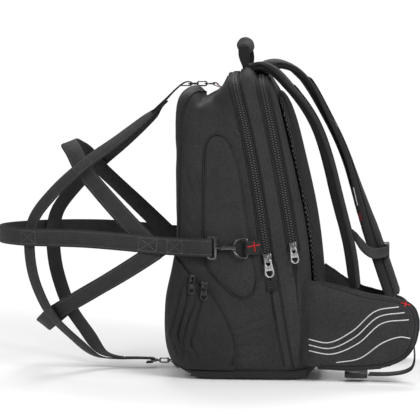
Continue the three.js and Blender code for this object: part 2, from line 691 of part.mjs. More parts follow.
const NET_MIDDLE = [
  at(-44, -160.2, 189), at(-32, -160.2, 189), at(-26.6, -160.3, 189),
  at(-24.3, -161, 189), at(-23.9, -163.8, 189), at(-24.3, -166.6, 189), at(-26.6, -167.3, 189),
  at(-36, -166.6, 189), at(-58, -155.5, 189), at(-84, -140, 189),
  at(-106, -133.2, 190), at(-150, -133, 194),
  at(-205, -131, 198), at(-250, -125.5, 199), at(-284, -117, 199),
  at(-302, -105.5, 199), at(-327, -76, 199),
  at(-344, -40, 199), at(-350, 0, 199),
];
const NET_TOP = [
  at(-82, 0, 415.6), at(-74, 0, 415.6), at(-69.6, 0, 415.8),
  at(-66, 0, 418.5), at(-69.6, 0, 421.2), at(-77, 0, 420.2),
  at(-90, 0, 410.5), at(-103.7, 0, 396.7), at(-113.7, 0, 386.7), at(-123.7, 0, 377.2),
];
const acrossNet = (half) => [...half, ...mirrored(half.slice(0, -1)).reverse()];
const foldedWidth = (share) => mix(WEBBING.width, 8, smoothstep(share, 0.5, 0.62));
const topWidth = (share) => mix(15, 46, smoothstep(share, 0.6, 0.97));
const TOP_STRAP = { width: topWidth, thickness: 1.6, even: false };

function netLong(points, side) {
  const fixed = (share) => (share > 0.62 ? at(0, -side, 0) : null);
  const look = { width: foldedWidth, thickness: WEBBING.thickness, facing: fromNet };
  return strap(points, { ...look, across: fixed, steps: 40, even: false });
}
const netAcross = (half, steps) => strap(acrossNet(half), { ...WEBBING, facing: fromNet, steps });
const MIDDLE_STRAP = { ...WEBBING, across: ALONG_Z, steps: 72, even: false };
const netMiddle = strap(acrossNet(NET_MIDDLE), MIDDLE_STRAP);

const group = new THREE.Group();
const COLOURS = {
  cloth: { color: 0x3b3c3f, roughness: 0.9, metalness: 0 },
  dark: { color: 0x202123, roughness: 0.85, metalness: 0 },
  mesh: { color: 0x2b2c2e, roughness: 0.95, metalness: 0 },
  plastic: { color: 0x161617, roughness: 0.4, metalness: 0 },
  rubber: { color: 0x6d6e70, roughness: 0.7, metalness: 0 },
  silver: { color: 0xb9bbbd, roughness: 0.35, metalness: 1 },
  gunmetal: { color: 0x77787b, roughness: 0.3, metalness: 1 },
};

function add(name, geometry, look) {
  const piece = new THREE.Mesh(geometry, new THREE.MeshStandardMaterial(COLOURS[look]));
  piece.name = name;
  group.add(piece);
  return piece;
}

// The same geometry on the other side of the bag.
function flip(geometry) {
  const positions = geometry.toNonIndexed().getAttribute("position");
  const points = [];
  for (let i = 0; i < positions.count; i++) {
    points.push(at(positions.getX(i), -positions.getY(i), positions.getZ(i)));
  }
  return outward(points, points.map((_, i) => i));
}

add("front_shell", frontShell, "cloth");
add("gusset_band", gussetBand, "cloth");
add("back_shell", backShell, "cloth");
add("base_panel", basePanel(), "dark");
add("front_pocket", frontPocket(), "cloth");
add("front_zipper", zipBand("frontZip", 436.5), "dark");
add("main_zipper", zipBand("mainZip", 436.5), "dark");
add("side_pad_right", sidePad(), "cloth");
add("side_pad_left", flip(sidePad()), "cloth");
add("back_pad", backPad(), "mesh");
add("handle_loop", handleLoop, "dark");
add("handle_grip", handleGrip(), "rubber");
add("shoulder_strap_right", shoulder(STRAP_RIGHT, rightTwist), "cloth");
add("shoulder_strap_left", shoulder(STRAP_LEFT, leftTwist), "cloth");
add("strap_webbing_right", lowWebbing(LOW_RIGHT), "dark");
add("strap_webbing_left", lowWebbing(LOW_LEFT), "dark");
add("sternum_strap", sternumStrap, "dark");
add("sternum_buckle", sternumBuckle(), "plastic");
add("hip_wing_right", wing(WING_RIGHT, -1), "cloth");
add("hip_wing_left", wing(WING_LEFT, 1), "cloth");
add("hip_webbing_right", hipWebbing(HIP_RIGHT), "dark");
add("hip_webbing_left", hipWebbing(HIP_LEFT), "dark");
add("hip_buckle_right", hipBuckle(193, -126, 6), "plastic");
add("hip_buckle_left", hipBuckle(170.2, 123, 1.4), "plastic");

add("strap_buckle_right", ladderLock(173.5, -112, 121.1), "plastic");
add("strap_buckle_left", ladderLock(229.5, 113, 88.2), "plastic");

// Zip sliders with their pulls: place on the bag, turn about the upright, lean of the zip and scale.
const SLIDERS = [
  { name: "front_right", x: 54, y: -152.2, z: 174, turn: 180, lean: 8.5, scale: 1 },
  { name: "front_left", x: 54, y: 152.2, z: 174, turn: 0, lean: 8.5, scale: 1 },
  { name: "main_right", x: 89.4, y: -152.2, z: 191, turn: 180, lean: 9, scale: 0.9 },
  { name: "main_left", x: 89.4, y: 152.2, z: 191, turn: 0, lean: 9, scale: 0.9 },
  { name: "pocket_front", x: -50.5, y: -153, z: 145, turn: 162, lean: 0, scale: 0.8 },
  { name: "pocket_rear", x: -34, y: -155, z: 136, turn: 174, lean: 0, scale: 0.8 },
];
for (const row of SLIDERS) {
  const place = (piece) => {
    piece.rotation.set(0, radians(-row.lean), radians(row.turn), "YZX");
    piece.position.set(row.x, row.y, row.z);
  };
  place(add(`slider_${row.name}`, slider(row.scale), "gunmetal"));
  place(add(`pull_${row.name}`, pull(row.scale), "silver"));
}

// Hook sets: place of the ring, turn about the bag's depth, scale and drop of the tab's sewn end.
const HOOK_SETS = [
  { name: "right", x: 17.5, y: -163.8, z: 189, turn: 0, scale: 1, drop: 11 },
  { name: "left", x: 17.5, y: 163.8, z: 189, turn: 180, scale: 1, drop: 11 },
  { name: "top", x: -40, y: 0, z: 418.5, turn: -90, scale: 0.66, drop: 7.9 },
  { name: "bottom", x: -96, y: 0, z: 10.5, turn: -90, scale: 0.66, drop: -4 },
];
for (const row of HOOK_SETS) {
  const place = (piece) => {
    piece.rotation.x = radians(row.turn);
    piece.position.set(row.x, row.y, row.z);
    piece.scale.setScalar(row.scale);
  };
  place(add(`ring_tab_${row.name}`, ringTab(row.drop), "dark"));
  place(add(`d_ring_${row.name}`, dRing(), "gunmetal"));
  place(add(`snap_hook_${row.name}`, hook(), "gunmetal"));
  place(add(`hook_gate_${row.name}`, gate(), "gunmetal"));
}

add("net_top_strap", strap(NET_TOP, { ...TOP_STRAP, across: ALONG_Y, steps: 18 }), "dark");
add("net_upper_strap", netAcross(NET_UPPER, 34), "dark");
add("net_middle_strap", netMiddle, "dark");
add("net_lower_strap", netAcross(NET_LOWER, 34), "dark");
add("net_right_strap", netLong(NET_LONG, -1), "dark");
add("net_left_strap", netLong(mirrored(NET_LONG), 1), "dark");

export default group;
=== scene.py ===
"""Looks of a motorcycle backpack: cloth, padding, webbing, zips, hooks and stitching on its frame."""

import math

import bmesh
import bpy
from bpy.props import FloatProperty, FloatVectorProperty, PointerProperty
from mathutils import Matrix, Quaternion, Vector, noise
from mathutils.bvhtree import BVHTree
from mathutils.kdtree import KDTree


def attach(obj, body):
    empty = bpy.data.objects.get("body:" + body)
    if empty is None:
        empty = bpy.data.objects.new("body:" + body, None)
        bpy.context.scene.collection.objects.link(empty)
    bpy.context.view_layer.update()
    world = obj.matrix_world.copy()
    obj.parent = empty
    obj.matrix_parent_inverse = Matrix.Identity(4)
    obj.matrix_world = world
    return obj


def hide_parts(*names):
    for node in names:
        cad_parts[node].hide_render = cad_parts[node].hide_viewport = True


bl_info = {
    "name": "Motorcycle Backpack",
    "version": (1, 0, 0),
    "blender": (4, 5, 0),
    "location": "View3D > Sidebar > Pack",
    "description": "Dresses the backpack's frame with cloth, webbing, zips and stitching",
    "category": "Object",
}

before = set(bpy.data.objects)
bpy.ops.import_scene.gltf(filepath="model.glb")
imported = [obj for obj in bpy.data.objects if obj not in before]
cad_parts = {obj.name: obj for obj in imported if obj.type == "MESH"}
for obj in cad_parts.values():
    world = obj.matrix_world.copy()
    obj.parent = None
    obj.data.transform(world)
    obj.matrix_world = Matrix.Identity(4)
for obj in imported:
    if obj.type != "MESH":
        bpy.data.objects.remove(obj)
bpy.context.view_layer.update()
ROOT = "pack"
MM = 0.001
SIDES = {"right": -1, "left": 1}

# Plan lines of the bag at each height, in millimetres: front zip, main zip and half width.
BODY_LINES = (
    {"z": 0, "front_zip": 82, "main_zip": 110, "half": 139},
    {"z": 26, "front_zip": 77, "main_zip": 107, "half": 142},
    {"z": 60, "front_zip": 70, "main_zip": 101, "half": 145},
    {"z": 90, "front_zip": 65, "main_zip": 97, "half": 147},
    {"z": 126, "front_zip": 59.5, "main_zip": 94, "half": 149},
    {"z": 165, "front_zip": 55, "main_zip": 92, "half": 150},
    {"z": 200, "front_zip": 50, "main_zip": 88, "half": 150},
    {"z": 239, "front_zip": 44.5, "main_zip": 81.5, "half": 149},
    {"z": 300, "front_zip": 34, "main_zip": 70, "half": 146},
    {"z": 340, "front_zip": 26, "main_zip": 62, "half": 142},
    {"z": 380, "front_zip": 16, "main_zip": 53, "half": 136},
    {"z": 410, "front_zip": 7, "main_zip": 45, "half": 130},
    {"z": 440, "front_zip": -1, "main_zip": 37, "half": 124},
)
# Heights between which each zip's lower end opens.
ZIP_ENDS = {"front_zip": (140, 168), "main_zip": (158, 184)}
# Half width of a zip's opening, and of its slit below the lower end.
ZIP_HALF = 7.2
ZIP_SLIT = 0.2
# Rounded top of the bag and the height of its base.
CREST = {"top": 436.5, "radius": 62, "crown": 9, "base": 24, "low": 2.9}

# Lines of the straps, in millimetres.
STRAP_LINES = {
    "right": (
        (26.6, -46, 438.2), (46, -54, 443), (64, -62, 431), (83, -72, 409), (100, -80, 388), (119, -88, 356),
        (135, -95, 310), (147, -100, 262), (156, -104, 228), (164, -107, 197), (170, -110, 164),
        (173, -112, 134),
    ),
    "left": (
        (26.6, 46, 438.1), (50, 54, 450), (76, 62, 444.5), (98.5, 71, 423.5), (114, 79, 397), (129, 86, 369),
        (144.5, 93, 338), (158, 98, 305), (171, 102, 266), (184, 105, 229), (198, 108, 188), (210, 110, 154),
        (222, 112, 119), (228, 113, 101),
    ),
}
STRAP_MIDDLE = {"x": 20, "z": 250, "share": 0.75}
LOW_LINES = {
    "right": ((173.5, -112, 109.3), (171.5, -112, 92), (165, -111, 70), (153, -110, 52), (132.6, -109, 40)),
    "left": ((229.5, 113, 76.4), (222, 113, 61), (200, 112, 48), (170, 110, 42), (132.2, 109, 38)),
}
STERNUM_LINE = (
    (163, -99, 212), (172, -96, 205), (181, -70, 191), (190, -35, 178), (200, 10, 170), (212, 52, 168),
    (218.5, 78.6, 168),
)
HIP_LINES = {
    "right": (
        (258, -142, 48.2), (258.4, -141, 41), (257.8, -139, 30), (254, -137, 21), (244, -134, 15),
        (225, -130, 11.3), (206, -127, 10.3), (195, -126, 10.3),
    ),
    "left": (
        (250.5, 142, 31), (250, 140, 24), (246, 137, 15), (235, 132, 9), (212, 127, 6.5), (186, 124, 5.5),
        (172, 123, 5.5),
    ),
}
HANDLE_HALF = ((17, -52, 433.9), (14.5, -50, 452), (12.5, -40, 469), (12.5, -20, 475), (12.5, 0, 476))
NET_LONG = (
    (-104.2, -12.8, 393.2), (-120, -15, 378.6), (-165, -50, 340), (-217, -86, 299), (-256, -98, 262),
    (-283, -103, 226), (-290, -104, 195), (-287, -100, 150), (-277, -92, 115), (-262, -79, 83),
    (-231, -53, 46), (-204, -25, 19), (-178, -10, 13.6), (-150, -5.4, 13.6), (-132, -4.6, 13.4),
    (-126.6, -4.6, 13.2), (-123.4, -4.6, 12.9), (-122.9, -4.6, 10.5), (-123.4, -4.6, 8.1),
    (-126.6, -4.6, 7.8), (-134, -4.6, 7.6),
)
NET_UPPER = (
    (-104, -126.1, 180), (-120, -125.1, 196), (-150, -119, 226), (-190, -100, 267), (-215.5, -80.5, 294),
    (-234, -50, 320), (-245, -22, 330), (-248, 0, 333),
)
NET_LOWER = (
    (-104, -129.5, 182), (-122, -128.5, 170), (-155, -122.5, 149), (-205, -105, 119), (-257.6, -74.6, 87.4),
    (-277, -48, 71), (-285, -20, 64), (-287, 0, 62),
)
NET_MIDDLE = (
    (-44, -160.2, 189), (-32, -160.2, 189), (-26.6, -160.3, 189), (-24.3, -161, 189), (-23.9, -163.8, 189),
    (-24.3, -166.6, 189), (-26.6, -167.3, 189), (-36, -166.6, 189), (-58, -155.5, 189), (-84, -140, 189),
    (-106, -133.2, 190), (-150, -133, 194), (-205, -131, 198), (-250, -125.5, 199), (-284, -117, 199),
    (-302, -105.5, 199), (-327, -76, 199), (-344, -40, 199), (-350, 0, 199),
)
NET_TOP = (
    (-82, 0, 415.6), (-74, 0, 415.6), (-69.6, 0, 415.8), (-66, 0, 418.5), (-69.6, 0, 421.2), (-77, 0, 420.2),
    (-90, 0, 410.5), (-103.7, 0, 396.7), (-113.7, 0, 386.7), (-123.7, 0, 377.2),
)
# Middle that the net's straps face away from.
NET_CENTRE = Vector((-190, 0, 185)) * MM
# Places of the box stitches on the net's runs, on one side.
BOX_STITCHES = {
    "net_right": ((-217, 86, 299), (-257, 78, 86)),
    "net_left": ((-217, 86, 299), (-257, 78, 86)),
    "net_middle": ((-76, 144, 189), (-116, 133.2, 191), (-289, 114, 199)),
}
# Lean of each zip's pulls, in degrees.
PULL_LEANS = {"front": 8.5, "main": 9.0, "pocket": 0.0}

# Distance of the side view's plane from the bag's middle.
SIDE_VIEW = 150
# Outline of the raised side panel, in the side view.
TEARDROP = (
    (-36, 250), (-35, 322), (-30, 339), (-18, 346), (-7, 341), (2, 329), (9, 307), (15, 286), (21, 239),
    (27, 205), (32, 171), (37, 149), (37.5, 136), (33.5, 124.5), (23, 118), (9, 120), (-4, 131), (-17, 144),
    (-30, 160), (-36, 182),
)
# Soft folds in the side view: ends, depth and width.
POCKET_FOLDS = (
    {"from": (-58, 146), "to": (-78, 54), "depth": 5.4, "width": 5},
    {"from": (-79, 76), "to": (-66, 34), "depth": 3.6, "width": 5},
    {"from": (-40, 124), "to": (-62, 40), "depth": 5.0, "width": 5},
    {"from": (-62, 62), "to": (-46, 28), "depth": 3.4, "width": 5},
    {"from": (-50, 100), "to": (-68, 50), "depth": 2.8, "width": 4},
)
SIDE_FOLDS = (
    {"from": (-52, 404), "to": (-58, 330), "depth": 2.2, "width": 12},
    {"from": (-20, 405), "to": (6, 352), "depth": 1.8, "width": 12},
    {"from": (-4, 103), "to": (46, 108), "depth": 2.4, "width": 6},
    {"from": (2, 64), "to": (58, 86), "depth": 3.0, "width": 7},
    {"from": (10, 40), "to": (62, 48), "depth": 2.2, "width": 8},
    {"from": (4, 352), "to": (18, 340), "depth": 2.4, "width": 5},
    {"from": (0, 336), "to": (18, 324), "depth": 2.0, "width": 5},
    {"from": (-58, 300), "to": (-46, 262), "depth": 1.8, "width": 8},
    {"from": (-60, 250), "to": (-48, 214), "depth": 1.6, "width": 8},
)
# Pocket seam on the side, from the zip's upper end to the base.
POCKET_SEAM = ((-64, 171), (-49, 147), (-30, 137), (-9, 104), (3, 78), (7, 53), (5, 24))
# Second seam on the gusset, beside the front zip's lower end.
GUSSET_SEAM = ((65, 168), (74, 110), (82, 60), (90, 16))
# Seam round the base and the patch that covers the front zip's lower end.
BASE_SEAM = ((-84, 23), (-67, 16), (-47, 12.5), (-29, 11), (0, 11), (34, 12), (66, 14), (96, 18))
GARAGE = ((58.4, 143), (59.4, 136), (60.4, 128))
# Pinstripes on the wing: start, sweep and end in the side view.
WING_STRIPES = (
    ((112, 62), (140, 58), (172, 74), (204, 102), (236, 108)),
    ((112, 54), (142, 50), (176, 66), (208, 94), (244, 100)),
    ((112, 46), (144, 42), (180, 57), (213, 85), (250, 90)),
    ((150, 30), (182, 36), (214, 58), (238, 66), (252, 64)),
)
# Cross tacks on the ring tabs and the hip wings: ends in the side view and width.
TAB_MARKS = (
    {"from": (27, 191), "to": (43, 193), "width": 1.4},
    {"from": (36.5, 184), "to": (34.5, 200), "width": 1.7},
)
HIP_MARKS = {
    "right": (
        {"from": (239, 113), "to": (252, 109.5), "width": 1.7},
        {"from": (244.5, 108), "to": (245.5, 114), "width": 1.7},
    ),
    "left": (
        {"from": (231, 90), "to": (244, 86), "width": 1.7},
        {"from": (236.5, 85), "to": (237.5, 91), "width": 1.7},
    ),
}
# Soft forms along the front panel's top: height or depth, middle and spread in the side view.
LIP = {"rise": 8, "x": -66, "spread": 16, "z": 402, "tall": 18}
NOTCH = {"depth": 9, "x": -44, "spread": 7.5}
HOLLOW = {"depth": 5, "x": -32, "spread": 14}
COLLAR = {"rise": 10, "x": -20, "spread": 10}
# Studio lamps and the camera, in metres, watts, millimetres of lens and degrees.
LAMPS = (
    {"name": "key", "at": (1.5, -1.9, 1.3), "size": 1.1, "power": 60},
    {"name": "fill", "at": (-1.7, -1.5, 1.4), "size": 1.3, "power": 22},
    {"name": "rim", "at": (0.0, 1.5, 2.0), "size": 1.4, "power": 34},
)
LAMP_TARGET = Vector((0, 0, 0.22))
CAMERA = {"lens": 175, "sensor": 36, "target": (-0.040, 0, 0.233), "away": 3.0, "turn": 5, "rise": 3}


class PackSizes(bpy.types.PropertyGroup):
    """Sizes of the sewn details."""

    webbing_width: FloatProperty(
        name="Webbing width", description="Width of the net's webbing", default=25 * MM, unit="LENGTH",
    )
    webbing_depth: FloatProperty(
        name="Webbing depth", description="Thickness of the webbing", default=2 * MM, unit="LENGTH",
    )
    piping: FloatProperty(
        name="Piping radius", description="Radius of the sewn-in piping", default=1.5 * MM, unit="LENGTH",
    )
    binding: FloatProperty(
        name="Binding radius", description="Radius of the edge binding", default=2.2 * MM, unit="LENGTH",
    )
    stitch: FloatProperty(
        name="Stitch length", description="Length of one stitch", default=3.0 * MM, unit="LENGTH",
    )
    stitch_gap: FloatProperty(
        name="Stitch gap", description="Gap between stitches", default=1.4 * MM, unit="LENGTH",
    )
    tooth_pitch: FloatProperty(
        name="Zip pitch", description="Distance between zip teeth", default=3.6 * MM, unit="LENGTH",
    )
    swell: FloatProperty(
        name="Pad swell", description="Share of each pad's full swelling", default=1, subtype="FACTOR",
    )


class PackColours(bpy.types.PropertyGroup):
    """Colours of the finishes."""

    cloth: FloatVectorProperty(
        name="Cloth", description="Shell cloth", default=(0.0196, 0.0196, 0.0194), subtype="COLOR",
    )
    webbing: FloatVectorProperty(
        name="Webbing", description="Straps", default=(0.014, 0.014, 0.0142), subtype="COLOR",
    )
    mesh: FloatVectorProperty(
        name="Mesh", description="Back mesh", default=(0.0112, 0.0112, 0.0114), subtype="COLOR",
    )
    dark: FloatVectorProperty(
        name="Piping", description="Piping and thread", default=(0.004, 0.004, 0.0042), subtype="COLOR",
    )
    tape: FloatVectorProperty(
        name="Zip tape", description="Zip tape", default=(0.0035, 0.0035, 0.0036), subtype="COLOR",
    )
    thread: FloatVectorProperty(
        name="Thread", description="Seam thread", default=(0.03, 0.03, 0.031), subtype="COLOR",
    )
    red: FloatVectorProperty(
        name="Tack", description="Bar tack thread", default=(0.44, 0.012, 0.016), subtype="COLOR",
    )
    silver: FloatVectorProperty(
        name="Pull", description="Zip pulls", default=(0.55, 0.55, 0.545), subtype="COLOR",
    )
    gunmetal: FloatVectorProperty(
        name="Hook", description="Hooks and rings", default=(0.13, 0.13, 0.134), subtype="COLOR",
    )
    plastic: FloatVectorProperty(
        name="Buckle", description="Buckles", default=(0.006, 0.006, 0.0062), subtype="COLOR",
    )
    grip: FloatVectorProperty(
        name="Grip", description="Handle grip", default=(0.036, 0.036, 0.037), subtype="COLOR",
    )
    stripe: FloatVectorProperty(
        name="Stripe", description="Reflective stripes", default=(0.46, 0.46, 0.45), subtype="COLOR",
    )


def sizes():
    return bpy.context.scene.pack_sizes


def colours():
    return bpy.context.scene.pack_colours


def clamp(value, low=0.0, high=1.0):
    return max(low, min(high, value))


def ease(value, low, high):
    t = clamp((value - low) / (high - low))
    return t * t * (3 - 2 * t)


def mix(a, b, t):
    return a + (b - a) * t


def body_line(z, column):
    """Smooth value of one plan line at a height."""
    rows = BODY_LINES
    last = len(rows) - 1
    z = clamp(z, rows[0]["z"], rows[last]["z"])
    i = max(k for k in range(last) if rows[k]["z"] <= z)
    step = rows[i + 1]["z"] - rows[i]["z"]

    def slope(k):
        a, b = rows[max(k - 1, 0)], rows[min(k + 1, last)]
        return (b[column] - a[column]) / (b["z"] - a["z"]) * step

    t = (z - rows[i]["z"]) / step
    a, b = rows[i][column], rows[i + 1][column]
    return a + (b - a) * t * t * (3 - 2 * t) + slope(i) * t * (1 - t) ** 2 - slope(i + 1) * t * t * (1 - t)


def zip_half(name, z):
    """Half width of a zip's opening at a height."""
    return mix(ZIP_SLIT, ZIP_HALF, ease(z, *ZIP_ENDS[name]))


def run_at(line, i):
    """Step of a line past one of its points, from the point before it to the point after."""
    return line[min(i + 1, len(line) - 1)] - line[max(i - 1, 0)]


def distances(line):
    """Distance along a line at each of its points."""
    dist = [0.0]
    for a, b in zip(line, line[1:]):
        dist.append(dist[-1] + (b - a).length)
    return dist


def mirrored(half):
    """Whole line of a strap from its half on one side, which ends in the middle."""
    return [*half, *((x, -y, z) for x, y, z in reversed(half[:-1]))]


def held(x, y, z):
    """Side of a strap's section that stays the same all along it."""
    return lambda p, share: Vector((x, y, z))


def catmull(points, spacing, each=16):
    """Evenly spaced points on the centripetal spline through a table of millimetre points."""
    knots = [Vector(p) * MM for p in points]
    knots = [2 * knots[0] - knots[1], *knots, 2 * knots[-1] - knots[-2]]
    fine = []
    for p0, p1, p2, p3 in zip(knots, knots[1:], knots[2:], knots[3:]):
        d0, d1, d2 = ((b - a).length ** 0.5 for a, b in ((p0, p1), (p1, p2), (p2, p3)))
        t1 = ((p1 - p0) / d0 - (p2 - p0) / (d0 + d1) + (p2 - p1) / d1) * d1
        t2 = ((p2 - p1) / d1 - (p3 - p1) / (d1 + d2) + (p3 - p2) / d2) * d1
        for k in range(each):
            t = k / each
            fine.append(
                p1 * (2 * t**3 - 3 * t * t + 1) + t1 * (t**3 - 2 * t * t + t)
                + p2 * (3 * t * t - 2 * t**3) + t2 * (t**3 - t * t)
            )
    fine.append(knots[-2])
    return even(fine, spacing)


def bspline(points, each=6):
    """Uniform cubic spline that a table of control points pulls, as a subdivided surface does."""
    knots = [2 * points[0] - points[1], *points, 2 * points[-1] - points[-2]]
    line = []
    for a, b, c, d in zip(knots, knots[1:], knots[2:], knots[3:]):
        for k in range(each):
            t = k / each
            near = b * (3 * t**3 - 6 * t * t + 4) + c * (-3 * t**3 + 3 * t * t + 3 * t + 1)
            line.append((a * (1 - t) ** 3 + near + d * t**3) / 6)
    line.append(points[-1])
    return line


def even(line, spacing):
    """The same line with its points evenly spaced."""
    dist = distances(line)
    count = max(2, round(dist[-1] / spacing))
    out, k = [], 0
    for i in range(count + 1):
        want = dist[-1] * i / count
        while k < len(line) - 2 and dist[k + 1] < want:
            k += 1
        span = max(dist[k + 1] - dist[k], 1e-12)
        out.append(line[k].lerp(line[k + 1], clamp((want - dist[k]) / span)))
    return out


class Ribbon:
    """A strap's line with the frame of its section at each point."""

    def __init__(self, line, across=None, facing=None, twist=None):
        self.spots = []
        for i, (p, dist) in enumerate(zip(line, distances(line))):
            share = i / (len(line) - 1)
            along = run_at(line, i).normalized()
            side = across(p, share) if across else None
            if side is None:
                side = along.cross(facing(p))
            side = (side - along * side.dot(along)).normalized()
            if twist:
                side = Quaternion(along, twist(share)) @ side
            out = side.cross(along)
            spot = {"p": p, "side": side, "out": out, "along": along, "share": share, "dist": dist}
            self.spots.append(spot)

    def spot_at(self, dist, sideways, lift):
        """Point at a distance along, moved sideways and off the face."""
        s = min(self.spots, key=lambda row: abs(row["dist"] - dist))
        return s["p"] + s["along"] * (dist - s["dist"]) + s["side"] * sideways + s["out"] * lift, s["out"]

    def rows(self, width, depth, start=0.0, end=1.0):
        """Section frames, as matrices, with each one's distance along and width."""
        made = []
        for s in self.spots:
            if not start <= s["share"] <= end:
                continue
            w = width(s) if callable(width) else width
            d = depth(s) if callable(depth) else depth
            made.append((place(s["p"], s["side"] * w, s["out"] * d, s["along"]), s["dist"], w))
        return made


def place(p, x, y, z):
    return Matrix(((x.x, y.x, z.x, p.x), (x.y, y.y, z.y, p.y), (x.z, y.z, z.z, p.z), (0, 0, 0, 1)))


FLAT = (
    (-0.5, -0.25), (-0.47, -0.5), (0.47, -0.5), (0.5, -0.25),
    (0.5, 0.25), (0.47, 0.5), (-0.47, 0.5), (-0.5, 0.25),
)


def round_section(count, ridge=0.0):
    """Round section one unit wide, with every second point drawn in by the ridge."""
    turns = [2 * math.pi * k / count for k in range(count)]
    radii = [0.5 - ridge * (k % 2) for k in range(count)]
    return tuple((r * math.cos(a), r * math.sin(a)) for r, a in zip(radii, turns))


def sweep(bm, rows, section=FLAT):
    """Extrudes a section from frame to frame and closes its ends; each point keeps its place in the weave."""
    weave = bm.verts.layers.float_vector.get("weave") or bm.verts.layers.float_vector.new("weave")
    matrix, dist, width = rows[0]
    ring = [bm.verts.new(matrix @ Vector((u, v, 0))) for u, v in section]
    for v, (u, _) in zip(ring, section):
        v[weave] = (u * width, dist, 0)
    edges = [bm.edges.new((ring[i - 1], ring[i])) for i in range(len(ring))]
    caps = [list(edges)]
    for step, dist, width in rows[1:]:
        made = bmesh.ops.extrude_edge_only(bm, edges=edges)["geom"]
        verts = [g for g in made if isinstance(g, bmesh.types.BMVert)]
        fresh = set(verts)
        edges = [g for g in made if isinstance(g, bmesh.types.BMEdge) and set(g.verts) <= fresh]
        back = step.inverted()
        bmesh.ops.transform(bm, matrix=step @ matrix.inverted(), verts=verts)
        for v in verts:
            v[weave] = ((back @ v.co).x * width, dist, 0)
        matrix = step
    caps.append(list(edges))
    for loop in caps:
        bmesh.ops.edgeloop_fill(bm, edges=loop)


def strip_rows(line, outs, width, depth):
    """Section frames along a line, lying across its outward directions. The width may follow the point."""
    rows = []
    for i, (p, out, dist) in enumerate(zip(line, outs, distances(line))):
        wide = width(p) if callable(width) else width
        along = run_at(line, i).normalized()
        side = along.cross(out).normalized()
        rows.append((place(p, side * wide, side.cross(along) * depth, along), dist, wide))
    return rows


def tube(bm, line, outs, radius):
    """Round cord along a line."""
    sweep(bm, strip_rows(line, outs, 2 * radius, 2 * radius), round_section(8))


def strip(bm, line, outs, width, depth):
    """Flat strip along a line."""
    sweep(bm, strip_rows(line, outs, width, depth))


def stitches(bm, line, outs, length=None, gap=None, width=0.8 * MM, depth=0.4 * MM):
    """Row of single stitches along a line."""
    length = length or sizes().stitch
    gap = gap or sizes().stitch_gap
    since = gap
    for a, b, out in zip(line, line[1:], outs):
        span = (b - a).length
        if span < 1e-7:
            continue
        along = (b - a) / span
        side = out.cross(along).normalized()
        spot = length + gap - since
        while spot < span:
            centre = a + along * spot
            matrix = place(centre, side * width, along.cross(side) * depth, along * length)
            bmesh.ops.create_cube(bm, size=1.0, matrix=matrix)
            spot += length + gap
        since = span - (spot - length - gap)


def bar_tack(bm, line, outs, width, pitch=0.75 * MM, slant=0.1):
    """Bar tack: close satin stitches across a short line, each slanted against the one before."""
    fine = even(line, pitch)
    last = len(outs) - 1
    for i, p in enumerate(fine):
        along = run_at(fine, i).normalized()
        out = outs[min(last, round(i * last / max(len(fine) - 1, 1)))]
        side = along.cross(out).normalized()
        across = (side + along * (slant if i % 2 else -slant)).normalized()
        matrix = place(p, across * width, out * 0.8 * MM, across.cross(out) * 0.6 * MM)
        bmesh.ops.create_cube(bm, size=1.0, matrix=matrix)


def box_stitch(bm, ribbon, start, end, half, lift, steps=12):
    """Stitched box with its two diagonals on a strap's face."""
    corners = ((-half, start), (half, start), (half, end), (-half, end))
    pairs = ((0, 1), (1, 2), (2, 3), (3, 0), (0, 2), (1, 3))
    for a, b in pairs:
        line, outs = [], []
        for k in range(steps + 1):
            t = k / steps
            sideways = mix(corners[a][0], corners[b][0], t)
            p, out = ribbon.spot_at(mix(corners[a][1], corners[b][1], t), sideways, lift)
            line.append(p)
            outs.append(out * math.copysign(1, lift))
        stitches(bm, line, outs, width=1.0 * MM)


def beside(line, outs, shift, lift):
    """A line moved sideways and off its surface."""
    moved = []
    for i, (p, out) in enumerate(zip(line, outs)):
        moved.append(p + run_at(line, i).cross(out).normalized() * shift + out * lift)
    return moved


def surface_tree(*names):
    """Search tree of the skin of one or more pieces."""
    bm = bmesh.new()
    for name in names:
        bm.from_mesh(bpy.data.objects[name].data)
    tree = BVHTree.FromBMesh(bm)
    bm.free()
    return tree


def laid(line, tree, lift, toward, reach=200 * MM):
    """A line moved on to a surface, without the points that miss it, and the surface's outward directions."""
    points, outs = [], []
    for i, p in enumerate(line):
        way = toward[i] if isinstance(toward, list) else toward
        spot, normal, _, _ = tree.ray_cast(p - way * reach, way, 2 * reach)
        if spot is not None:
            points.append(spot + normal * lift)
            outs.append(normal)
    return points, outs


def side_line(pairs, sign, spacing=4 * MM):
    """Line in the side view, standing beside the bag on one side."""
    return catmull([(x, sign * SIDE_VIEW, z) for x, z in pairs], spacing)


def contour(mesh, spot, normal):
    """Longest cut of a mesh by a plane, as a closed line."""
    bm = bmesh.new()
    bm.from_mesh(mesh)
    geom = [*bm.verts, *bm.edges, *bm.faces]
    cut = bmesh.ops.bisect_plane(bm, geom=geom, plane_co=spot, plane_no=normal)["geom_cut"]
    left = dict.fromkeys(e for e in cut if isinstance(e, bmesh.types.BMEdge))
    best = []
    while left:
        edge = next(iter(left))
        del left[edge]
        line = [edge.verts[0], edge.verts[1]]
        grown = True
        while grown:
            grown = False
            for e in line[-1].link_edges:
                if e in left:
                    del left[e]
                    line.append(e.other_vert(line[-1]))
                    grown = True
                    break
        points = [v.co.copy() for v in line]
        length = sum((b - a).length for a, b in zip(points, points[1:]))
        if not best or length > best[0]:
            best = (length, points)
    bm.free()
    return best[1]


def merged(node):
    """Editable copy of a frame node with its doubled points merged."""
    bm = bmesh.new()
    bm.from_mesh(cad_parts[node].data)
    bmesh.ops.remove_doubles(bm, verts=bm.verts, dist=0.01 * MM)
    return bm


def bent_edges(bm, angle):
    """Edges where two faces meet at more than an angle in degrees."""
    return [e for e in bm.edges if len(e.link_faces) == 2 and e.calc_face_angle(0) > math.radians(angle)]


